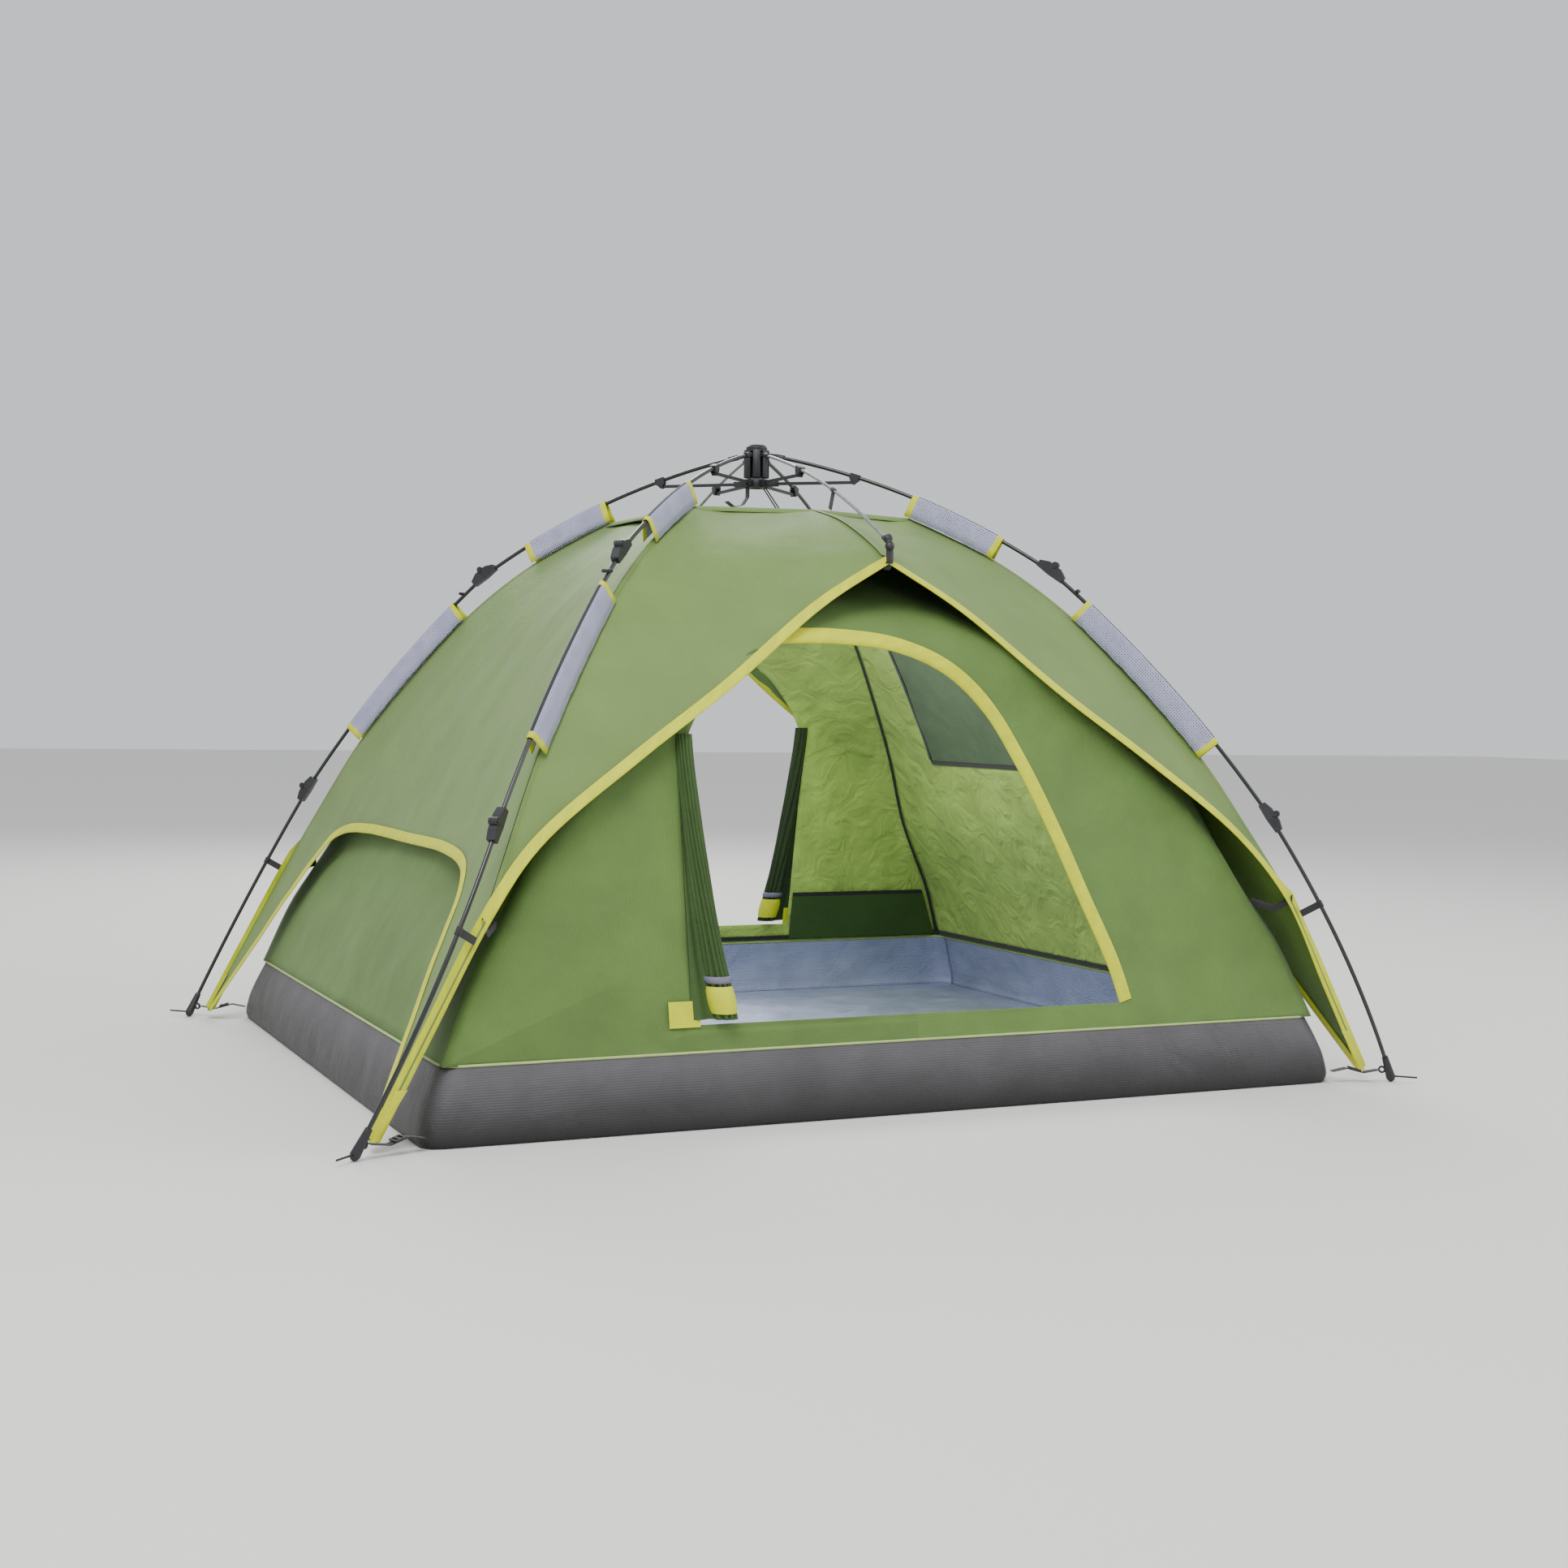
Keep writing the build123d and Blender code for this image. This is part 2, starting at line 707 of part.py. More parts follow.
# ---------------------------------------------------------------- the hub
def hub_parts():
    low = hub_top - cap_height - hub_height
    housing = Pos(0, 0, low + hub_height / 2) * Cylinder(hub_radius, hub_height)
    slot_width = tongue_width + 2 * side_play
    slot_height = hub_height - 3
    pins = []
    for azimuth in arm_azimuths:
        slot = Pos(hub_core_radius + 25, 0, low + slot_height / 2 - 1) * Box(
            50, slot_width, slot_height + 2
        )
        hole = disc(arm_pivot, pivot_pin_radius + running_fit, slot_width)[0]
        pin = disc(arm_pivot, pivot_pin_radius, slot_width - 1)[0]
        housing -= Rot(0, 0, azimuth) * slot
        housing -= Rot(0, 0, azimuth) * hole
        pins += turned([pin], azimuth)
    cap_base = Pos(0, 0, hub_top - cap_height / 2) * Cylinder(cap_radius, cap_height)
    cap = chamfer(cap_base.edges().group_by(Axis.Z)[-1], cap_chamfer)
    return housing, cap, pins


housing, cap, hub_pins = hub_parts()
write("hub_housing", [housing])
write("hub_cap", [cap])
write("hub_pins", hub_pins)


def runner_parts():
    """Ring under the hub with a clevis for each strut."""
    level = hub_top - runner_drop
    body = Pos(0, 0, level) * Cylinder(runner_radius, runner_height)
    gap_width = strut_thickness + 2 * side_play
    ear_width = gap_width + 2 * clevis_ear
    reach = strut_ring_radius + clevis_reach
    for azimuth in arm_azimuths:
        ears = Pos(reach / 2, 0, level) * Box(reach, ear_width, runner_height - 2 * clevis_drop)
        body += Rot(0, 0, azimuth) * ears
    for azimuth in arm_azimuths:
        start = strut_ring_radius - strut_eye_radius - swing_gap - clevis_throat
        gap = Pos(start + reach / 2, 0, level) * Box(reach, gap_width, runner_height + 2)
        body -= Rot(0, 0, azimuth) * gap
    body -= Pos(0, 0, level) * Cylinder(runner_bore_radius, runner_height + 2)
    return body


write("runner", [runner_parts()])


def pull_strap():
    """Short webbing pull that hangs under the runner, with its end hooked to one side."""
    top = hub_top - runner_drop - runner_height / 2 - cloth_gap
    root = -(runner_radius + runner_bore_radius) / 2
    route = [(0, 0), (0, -22), (-12, -40), (-34, -46), (-52, -34)]
    points = [(root + across, 0, top + up) for across, up in route]
    path = FilletPolyline(*points, radius=pull_strap_bend)
    section = Plane(origin=points[0], x_dir=(1, 0, 0), z_dir=(0, 0, -1)) * Rectangle(
        web_thickness, pull_strap_width
    )
    return sweep(section, path=path)


write("pull_strap", [pull_strap()])


def fly_cord(side):
    """Tight cord from the runner's underside to the roof of the fly."""
    top = hub_top - runner_drop - runner_height / 2 - cloth_gap
    foot = fly_levels[0][1] + cloth_gap + cord_radius
    path = Line((runner_radius - 8, 0.75 * side, top), (cord_reach, side, foot))
    end_cut = Pos(runner_radius - 8, 0, top + 10) * Box(30, 40, 20)
    return tube(path, cord_radius) - end_cut


write("fly_cords", [fly_cord(-8), fly_cord(8)])


# ---------------------------------------------------------------- floor and inner tent
def tub_outline(lean, low_inset, height):
    x = floor_length / 2 - lean * tub_lean_x - low_inset
    y = floor_width / 2 - lean * tub_lean_y - low_inset
    return [(x, -y, height), (-x, -y, height), (-x, y, height), (x, y, height)]


def tub():
    """Bucket floor: a sheet on the ground with four walls that lean in."""
    outside = [tub_outline(1, 0, tub_height), tub_outline(0, 0, 0)]
    inside = [tub_outline(1, tub_wall, tub_height), tub_outline(0, tub_wall, tub_wall)]
    faces = walls(outside) + walls(inside) + [flat_face(outside[1]), flat_face(inside[1])]
    for number in range(4):
        following = (number + 1) % 4
        rim = [outside[0][number], outside[0][following], inside[0][following], inside[0][number]]
        faces.append(flat_face(rim))
    return closed(faces)


def piping_ring():
    """Cord sewn round the top of the tub's walls."""
    top = [tub_outline(1, -piping, tub_height), tub_outline(1, -cloth_gap, tub_height)]
    low_lean = 1 - piping / tub_height
    low_height = tub_height - piping
    bottom = [tub_outline(low_lean, -piping, low_height), tub_outline(low_lean, -cloth_gap, low_height)]
    faces = walls([top[0], bottom[0]]) + walls([top[1], bottom[1]])
    for outer, inner in (top, bottom):
        for number in range(4):
            following = (number + 1) % 4
            faces.append(flat_face([outer[number], outer[following], inner[following], inner[number]]))
    return closed(faces)


write("floor_tub", [tub()])
write("tub_piping", [piping_ring()])

half_turn = Rot(0, 0, 180)
inner_rings = inner_outlines()
inner = skin(inner_rings, 0, -cloth)
door_hole = door_prism(0, door_sill)
window_points = window_prism(0)
window_holes = [
    upright_prism(window_points, "X", -900, -400),
    upright_prism(window_points, "X", 400, 900),
]
inner -= door_hole
inner -= half_turn * door_hole
for hole in window_holes:
    inner -= hole
write("inner_tent", [inner])

mesh_skin = skin(inner_rings, -0.2, -cloth + 0.2)
pane_points = window_prism(-cloth_gap)
panes = [
    mesh_skin & upright_prism(pane_points, "X", -900, -400),
    mesh_skin & upright_prism(pane_points, "X", 400, 900),
]
write("side_windows", panes)

trim_skin = skin(inner_rings, cloth_gap + 1, cloth_gap)
trim_band = door_prism(door_trim_width, door_sill - door_trim_width) - door_prism(0.5, door_sill)
door_trims = [trim_skin & trim_band, trim_skin & (half_turn * trim_band)]
write("door_trims", door_trims)


def curtain():
    """Door cloth gathered in a roll against the hinged side of the doorway."""
    def spot(height):
        depth = panel_depth(height) - cloth / 2
        return (-door_half_width + curtain_radius + cloth_gap, -depth, height)
    path = Line(spot(door_sill + curtain_lift), spot(door_shoulder))
    return tube(path, curtain_radius)


front_curtain = curtain()
write("doors", [front_curtain, half_turn * front_curtain])

# ---------------------------------------------------------------- fly
fly_rings = fly_outlines()
fly = skin(fly_rings, 0, -fly_cloth)
for arch in arches(0):
    fly -= arch
write("fly", [fly])

trim = skin(fly_rings, cloth_gap + trim_thickness, cloth_gap)
bands = arches(fly_trim_width)
cuts = arches(0)
taped = []
tail_depth = tip_corner[1] - fly_trim_width
tail_sides = Pos(0, 0, fly_shoulder[1] / 2) * Box(3000, 2 * tail_depth, fly_shoulder[1])
bands[0] -= tail_sides
bands[1] -= tail_sides
for band in bands:
    piece = trim & band
    for cut in cuts:
        piece -= cut
    taped.append(piece)
tape = taped[0]
for piece in taped[1:]:
    tape += piece
write("fly_trim", [tape])


# ---------------------------------------------------------------- straps
def world(azimuth, point):
    return (Rot(0, 0, azimuth) * Pos(*point)).position


def ribbon(points, width, thickness):
    """Flat webbing along points of an upright plane, with its width level."""
    run = points[-1] - points[0]
    side = Vector(-run.Y, run.X, 0).normalized()
    path = FilletPolyline(*points, radius=web_bend)
    section = Plane(origin=points[0], x_dir=side, z_dir=path % 0) * Rectangle(width, thickness)
    return sweep(section, path=path)


def tub_corner(x_sign, y_sign, height):
    """Corner of the floor's leaning walls at a height."""
    lean = height / tub_height
    x = floor_length / 2 - lean * tub_lean_x
    y = floor_width / 2 - lean * tub_lean_y
    return Vector(x_sign * x, y_sign * y, height)


def corner_web(lug):
    """Slack webbing from a corner of the floor to a foot, and the buckle on it."""
    corner = tub_corner(away(lug.X), away(lug.Y), web_height)
    toward = (lug - corner).normalized()
    start = corner + toward * 2 * cloth_gap
    finish = lug - toward * (lug_radius + 2 * cloth_gap)
    waves = [start + (finish - start) * share + Vector(0, 0, rise) for share, rise in web_waves]
    web = ribbon([start, *waves, finish], web_width, web_thickness)
    run = (waves[1] - waves[0]).normalized()
    level = Vector(-run.Y, run.X, 0).normalized()
    normal = run.cross(level)
    middle = (waves[0] + waves[1]) * 0.5
    spot = Plane(
        origin=middle + normal * (web_thickness / 2 + cloth_gap + buckle_rim / 2),
        x_dir=run,
        z_dir=normal,
    )
    buckle = Box(buckle_length, web_width + 2 * buckle_rim, buckle_rim)
    for offset in (-buckle_slot_offset, buckle_slot_offset):
        buckle -= Pos(offset, 0, 0) * Box(buckle_slot, web_width, 2 * buckle_rim)
    return web, spot * buckle


webbing = []
buckles = []
for side, (azimuth, hand) in SIDES.items():
    lug = world(azimuth, tuple(lug_spot(lower_line(hand))))
    web, buckle = corner_web(lug)
    webbing.append(web)
    buckles.append(buckle)

write("corner_webbing", webbing)
write("strap_buckles", buckles)


def pole_loop(line, reach, radius, drop):
    """Webbing loop round a pole and the short strap that holds the fly to it."""
    spot, direction = line_spot(line, reach)
    plane = Plane(origin=spot, z_dir=direction)
    outer = radius + cloth_gap + web_thickness
    loop = plane * Cylinder(outer, strap_width) - plane * Cylinder(radius + cloth_gap, strap_width + 2)
    flat = Vector(direction.X, direction.Y, direction.Z)
    inward = (Vector(0, 0, -1) - flat * (Vector(0, 0, -1).dot(flat))).normalized()
    start = spot + inward * (radius + cloth_gap + 0.1)
    middle = start + inward * (drop / 2)
    band_plane = Plane(origin=middle, x_dir=flat, z_dir=inward)
    band = band_plane * Box(strap_width, web_thickness, drop)
    return loop + band


straps = []
for side, (azimuth, hand) in SIDES.items():
    lower = lower_line(hand)
    straps += turned([pole_loop(lower, lower_strap_reach, pole_radius, lower_strap_drop)], azimuth)
for azimuth in RIDGES.values():
    straps += turned([pole_loop(ridge_line, ridge_strap_reach, ridge_radius, ridge_strap_drop)], azimuth)
write("pole_straps", straps)
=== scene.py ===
import json
import math

import bmesh
import bpy
import numpy as np
from mathutils import Matrix, Vector, noise


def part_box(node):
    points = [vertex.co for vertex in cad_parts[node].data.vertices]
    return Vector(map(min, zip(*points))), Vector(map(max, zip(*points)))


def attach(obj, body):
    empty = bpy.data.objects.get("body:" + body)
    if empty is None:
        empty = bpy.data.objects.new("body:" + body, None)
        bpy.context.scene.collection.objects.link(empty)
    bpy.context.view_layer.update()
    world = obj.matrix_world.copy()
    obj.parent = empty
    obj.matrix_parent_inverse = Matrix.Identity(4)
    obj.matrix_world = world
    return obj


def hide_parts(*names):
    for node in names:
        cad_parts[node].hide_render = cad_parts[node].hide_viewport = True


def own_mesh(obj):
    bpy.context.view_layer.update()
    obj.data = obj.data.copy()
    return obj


bl_info = {
    "name": "Dome Tent",
    "version": (1, 0, 0),
    "blender": (4, 5, 0),
    "location": "View3D > Sidebar > Tent",
    "description": "Cloth, tapes, webbing and finishes of a dome tent on a folding hub frame",
    "category": "Object",
}

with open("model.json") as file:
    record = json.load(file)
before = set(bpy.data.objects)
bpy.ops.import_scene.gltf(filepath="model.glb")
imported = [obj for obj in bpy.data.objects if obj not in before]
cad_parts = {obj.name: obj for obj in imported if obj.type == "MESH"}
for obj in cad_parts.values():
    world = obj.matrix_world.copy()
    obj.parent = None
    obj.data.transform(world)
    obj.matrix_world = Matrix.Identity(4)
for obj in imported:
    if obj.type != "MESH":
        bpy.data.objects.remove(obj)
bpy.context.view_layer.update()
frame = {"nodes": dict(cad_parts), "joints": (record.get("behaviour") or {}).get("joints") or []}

LEGS = ("front_right", "back_right", "back_left", "front_left")
RIDGES = ("front", "back")
TENT = "tent_body"
FLY_MIDDLE = (0.0, 0.0, 0.4)          # points inside, which outer faces turn away from
INNER_MIDDLE = (0.0, 0.0, 0.5)


# ------------------------------------------------------------ sizes of the sewn parts
def leg_axes(side):
    """Outward and sideways unit vectors of a leg's upright plane."""
    joint = next(j for j in frame["joints"] if j["name"] == f"arm_hinge_{side}")
    sideways = Vector(joint["axis"])
    return sideways.cross(Vector((0, 0, 1))), sideways


LEG_OUT = leg_axes("front_right")[0]
LEG_COS = abs(LEG_OUT.x)
LEG_SIN = abs(LEG_OUT.y)
TUB_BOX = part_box("floor_tub")

# the fly's edge under each leg: distance from the hub's axis, height
FLY_RIDGE = [
    (0.363, 1.207),
    (0.440, 1.172),
    (0.579, 1.100),
    (0.735, 0.985),
    (0.905, 0.815),
    (1.022, 0.682),
    (1.128, 0.526),
    (1.212, 0.396),
]
FLY_TIP = (1.080, 0.842, 0.020)
# middle seam over each doorway: distance from the hub's axis, height
FLY_PEAK = [(0.320, 1.207), (0.460, 1.172), (0.625, 1.100), (0.664, 1.074)]
# door arch: height on the leg's edge, half width of the arch, its depth, its height
DOOR_ARCH = [
    (1.076, 0.000, 0.664, 1.074),
    (0.985, 0.150, 0.686, 0.985),
    (0.815, 0.370, 0.728, 0.815),
    (0.682, 0.560, 0.761, 0.682),
    (0.526, 0.765, 0.799, 0.526),
    (0.396, 0.868, 0.833, 0.396),
    (0.208, 0.968, 0.838, 0.208),
    (0.020, 1.066, 0.843, 0.020),
]
# side arch: height on the leg's edge, half width of the arch, its height
SIDE_ARCH = [
    (0.585, 0.000, 0.496),
    (0.530, 0.300, 0.494),
    (0.490, 0.490, 0.478),
    (0.462, 0.556, 0.456),
    (0.420, 0.600, 0.412),
    (0.300, 0.662, 0.300),
    (0.150, 0.742, 0.150),
    (0.020, 0.816, 0.020),
]
# inner tent: height, corner x, corner y, half width of the door wall, depth of the door wall
INNER_LEVELS = [
    (1.150, 0.251, 0.237, 0.006, 0.275),
    (1.047, 0.401, 0.379, 0.030, 0.491),
    (0.938, 0.507, 0.480, 0.232, 0.675),
    (0.772, 0.627, 0.592, 0.455, 0.706),
    (0.642, 0.710, 0.671, 0.610, 0.730),
    (0.471, 0.785, 0.732, 0.766, 0.762),
    (0.386, 0.833, 0.758, 0.812, 0.778),
    (0.290, 0.889, 0.787, 0.866, 0.796),
    (0.140, 0.950, 0.824, 0.938, 0.824),
]
# doorway seen from outside: x, height, round its edge from the lower right
DOORWAY = [
    (0.470, 0.190),
    (0.448, 0.265),
    (0.392, 0.397),
    (0.329, 0.545),
    (0.264, 0.677),
    (0.197, 0.783),
    (0.109, 0.856),
    (0.002, 0.897),
    (-0.123, 0.910),
    (-0.246, 0.908),
    (-0.335, 0.872),
    (-0.405, 0.800),
    (-0.452, 0.720),
    (-0.470, 0.640),
    (-0.470, 0.400),
    (-0.470, 0.190),
]
DOORWAY_CURVE = 14       # count of those points on the curve: the hinged side is straight
DOORWAY_MIDDLE = (0.0, 0.52)
BAND_END = 10            # count of those points that the tape follows
BAND_LIFT = 0.0024
ROOF_LAP = 1.045         # the roof patch laps over the panels' top edges
ROOF_SLOPE = 0.66        # fall of the panels just below the roof patch
DOOR_HINGE = -0.460      # middle of the gathered door at its top
DOOR_TOP = 0.730
DOOR_TIE = (0.02, 0.115, 0.0275)      # start, end and radius of the tie at the door's foot
DOOR_CUFF = (0.125, 0.150, 0.0262)
WINDOW = [(0.430, 0.650), (0.310, 0.930), (-0.310, 0.930), (-0.430, 0.650)]
WINDOW_MIDDLE = (0.0, 0.76)
BASE_FOOT = 0.150        # foot of the dark strips beside the doorways
BASE_TOP = 0.268
BASE_START = 0.476       # where those strips start, beside the doorway
BASE_INSET = 0.008       # how far they stand inside the wall
BASE_COLUMNS = 40

# fly: felled seams under the legs, flat seams over the doorways, tape and roof patches
SEAM_RISE = 0.0012
SEAM_FOLD = 0.003
SEAM_WIDTH = 0.008
PEAK_SEAM_HALF = 0.007
TAPE_LIFT = 0.0014
FLY_ROOF_RISE = 0.014
INNER_ROOF_RISE = 0.010
ROOF_RINGS = 14
# inner tent: steps up a wall's corner, least turn of an opening's corner (radians), windows
WALL_STEPS = 160
CORNER_TURN = 0.32
WINDOW_WRINKLE = 0.003
WINDOW_TAPE = 0.012
WINDOW_TAPE_LIFT = 0.0018
WINDOW_NORMAL = (0.89, 0.0, 0.45)
# gathered doors
DOOR_FOLDS = 11
DOOR_LEAN = 0.052
DOOR_FOOT_GAP = 0.010
ROLL_RADIUS = 0.0245
ROLL_TAPER = 0.0075
BACK_DOOR_SHADE = 0.45   # the far door hangs in the shade of the fly
TAB_WIDTH = (-0.520, -0.458)
TAB_HEIGHT = (0.186, 0.234)
TAB_LIFT = 0.0035
# bucket floor
TUB_ROWS = 18
TUB_WRINKLE = 0.005
TUB_THICKNESS = 0.0008
RING_POINTS = 320
GROUND_RINGS = 60
GROUND_WRINKLE = 0.014
GROUND_LIFT = 0.0022
# sleeves: rows along the pole, clearance at the ends, radius and reach round the pole
SLEEVE_ROWS = 64
SLEEVE_END = 0.014
SLEEVE_RADIUS = 0.0062
SLEEVE_WRAP = 1.15
SLEEVE_THICKNESS = 0.0012
SLEEVE_SIDE = [(-0.0115, -0.026), (-0.0092, -0.012), (-0.0074, -0.001)]
# straps and toggles: half width, thickness; length and radius
STRAP_HALF = 0.0075
RIDGE_STRAP_THICKNESS = 0.0022
CORNER_STRAP_THICKNESS = 0.002
CORNER_HEIGHT = 0.384    # where the corner straps meet the inner tent
RIDGE_HOOK = (0.036, 0.0095)
SLEEVE_TOGGLE = (0.026, 0.0042)

# stage: name, place and width in metres, power in watts
LAMPS = (
    ("key", (-2.6, -3.4, 5.2), 3.0, 310),
    ("fill", (4.5, -2.5, 3.2), 3.5, 110),
    ("rim", (1.0, 5.0, 4.5), 3.0, 230),
    ("inside", (0.0, 0.0, 1.08), 0.7, 13),
)
LAMP_AIM = (0, 0, 0.3)
WORLD_STRENGTH = 0.95
FLOOR_HALF = 30.0
FLOOR_DROP = 0.0006
CAMERA_PLACE = (-1.9401, -4.3963, 0.7786)
CAMERA_TURN = (24.691, 2.039, 0.85)   # yaw, pitch down and roll, in degrees
CAMERA_LENS = 48.06                   # millimetres
CAMERA_SENSOR = 36.0


def hex_colour(text):
    """sRGB hex to the linear colour that shaders take."""
    values = [int(text[i : i + 2], 16) / 255 for i in (1, 3, 5)]
    linear = [v / 12.92 if v <= 0.04045 else ((v + 0.055) / 1.055) ** 2.4 for v in values]
    return (*linear, 1.0)


def colour_setting(name, description, text):
    return bpy.props.FloatVectorProperty(
        name=name,
        description=description,
        default=hex_colour(text),
        size=4,
        min=0.0,
        max=1.0,
        subtype="COLOR",
    )


def length_setting(name, description, metres):
    return bpy.props.FloatProperty(
        name=name, description=description, default=metres, min=0.0, unit="LENGTH"
    )


class FlySettings(bpy.types.PropertyGroup):
    sag: bpy.props.FloatProperty(
        name="Sag",
        description="Depth of the hollow between two poles, as a share of the span",
        default=0.022,
        subtype="FACTOR",
    )
    wrinkle: length_setting("Wrinkle height", "Height of the soft wrinkles in the cloth", 0.0035)
    tape: length_setting("Tape width", "Width of the tape that binds the edges", 0.022)
    cloth: length_setting("Cloth thickness", "Thickness of the coated cloth", 0.0006)
    colour: colour_setting("Cloth", "Outer face of the fly", "#67823D")
    lining: colour_setting("Coated face", "Inner face of the fly", "#557130")
    tape_colour: colour_setting("Tape", "Binding tape", "#D6DC00")


class InnerSettings(bpy.types.PropertyGroup):
    wrinkle: length_setting("Wrinkle height", "Height of the soft wrinkles in the walls", 0.004)
    cloth: length_setting("Cloth thickness", "Thickness of the breathable cloth", 0.0005)
    band: length_setting("Door band", "Width of the tape round the doorways", 0.028)
    outside: colour_setting("Outside", "Outer face of the walls", "#5C7A38")
    # painted light: the inside colour is the wall cloth painted paler, for daylight coming through
    # it
    inside: colour_setting("Inside", "Inner face of the walls", "#A8C65E")
    # painted shade: the door colour is the wall cloth painted darker, for the shade in its gathered
    # folds
    door: colour_setting("Doors", "Cloth of the gathered doors", "#35501F")
    mesh: colour_setting("Mesh", "Window mesh", "#74896B")


class FloorSettings(bpy.types.PropertyGroup):
    bulge: length_setting("Wall bulge", "How far the floor's walls belly out", 0.008)
    corner: length_setting("Corner radius", "Radius of the floor's upright corners", 0.035)
    piping: length_setting("Piping radius", "Radius of the piping at the top of the walls", 0.0026)
    outside: colour_setting("Walls", "Coated cloth of the bucket floor", "#4C4A4D")
    inside: colour_setting("Ground sheet", "Upper face of the ground sheet", "#A3A9CE")
    piping_colour: colour_setting("Piping", "Piping at the top of the walls", "#B3C97F")


class SleeveSettings(bpy.types.PropertyGroup):
    half_width: length_setting("Half width", "Half width of a sleeve at its open edge", 0.014)
    drop: length_setting("Drop", "Depth of the open edge below the pole", 0.044)
    band: length_setting("Band", "Width of the tape at both ends", 0.012)
    colour: colour_setting("Cloth", "Mesh cloth of the sleeves", "#A3A4C0")


class FrameSettings(bpy.types.PropertyGroup):
    pole: colour_setting("Poles", "Glass-fibre poles", "#15161A")
    rod: colour_setting("Ridge rods", "Glass-fibre ridge rods", "#7D8286")
    plastic: colour_setting("Plastic", "Moulded hub, knuckles and feet", "#1B1B20")
    webbing: colour_setting("Webbing", "Woven straps", "#17171A")
    edge: length_setting("Edge radius", "Rounding of the moulded edges", 0.0006)


# ------------------------------------------------------------ curves and sheets
def smooth(points, count):
    """A curve through points, sampled at equal steps of its length."""
    points = np.array(points, float)
    steps = np.linalg.norm(np.diff(points, axis=0), axis=1) ** 0.5
    knots = np.concatenate([[0], np.cumsum(steps)])
    slopes = np.gradient(points, knots, axis=0)
    fine = np.linspace(0, knots[-1], 60 * len(points))
    index = np.clip(np.searchsorted(knots, fine, side="right") - 1, 0, len(points) - 2)
    span = (knots[index + 1] - knots[index])[:, None]
    t = ((fine - knots[index])[:, None]) / span
    a, b = points[index], points[index + 1]
    ma, mb = slopes[index] * span, slopes[index + 1] * span
    curve = (
        (2 * t**3 - 3 * t**2 + 1) * a
        + (t**3 - 2 * t**2 + t) * ma
        + (3 * t**2 - 2 * t**3) * b
        + (t**3 - t**2) * mb
    )
    return resample(curve, count)


def resample(curve, count):
    along = lengths(curve)
    at = np.linspace(0, along[-1], count)
    return np.stack([np.interp(at, along, curve[:, k]) for k in range(curve.shape[1])], axis=1)


def lengths(curve):
    return np.concatenate([[0], np.cumsum(np.linalg.norm(np.diff(curve, axis=0), axis=1))])


def between(a, b, columns):
    """Grid of points from curve a to curve b, row by row."""
    share = np.linspace(0, 1, columns)[None, :, None]
    return a[:, None] * (1 - share) + b[:, None] * share


def normals(grid):
    along = np.gradient(grid, axis=0)
    across = np.gradient(grid, axis=1)
    n = np.cross(along, across)
    return n / np.maximum(np.linalg.norm(n, axis=2, keepdims=True), 1e-12)


def facing(grid, centre):
    """Unit normals of a grid, on the side away from a point."""
    n = normals(grid)
    flip = np.sign(((grid - np.array(centre)) * n).sum(axis=2))
    flip[flip == 0] = 1
    return n * flip[:, :, None]


def ripples(grid, height, size, stretch=(1.0, 1.0, 1.0), seed=0.0):
    """Height of soft wrinkles at each point of a grid."""
    scale = np.array(stretch) / size
    values = np.empty(grid.shape[:2])
    for i, row in enumerate(grid):
        for j, point in enumerate(row):
            spot = Vector(point * scale + seed)
            values[i, j] = noise.noise(spot) + 0.45 * noise.noise(spot * 2.3)
    return values * height


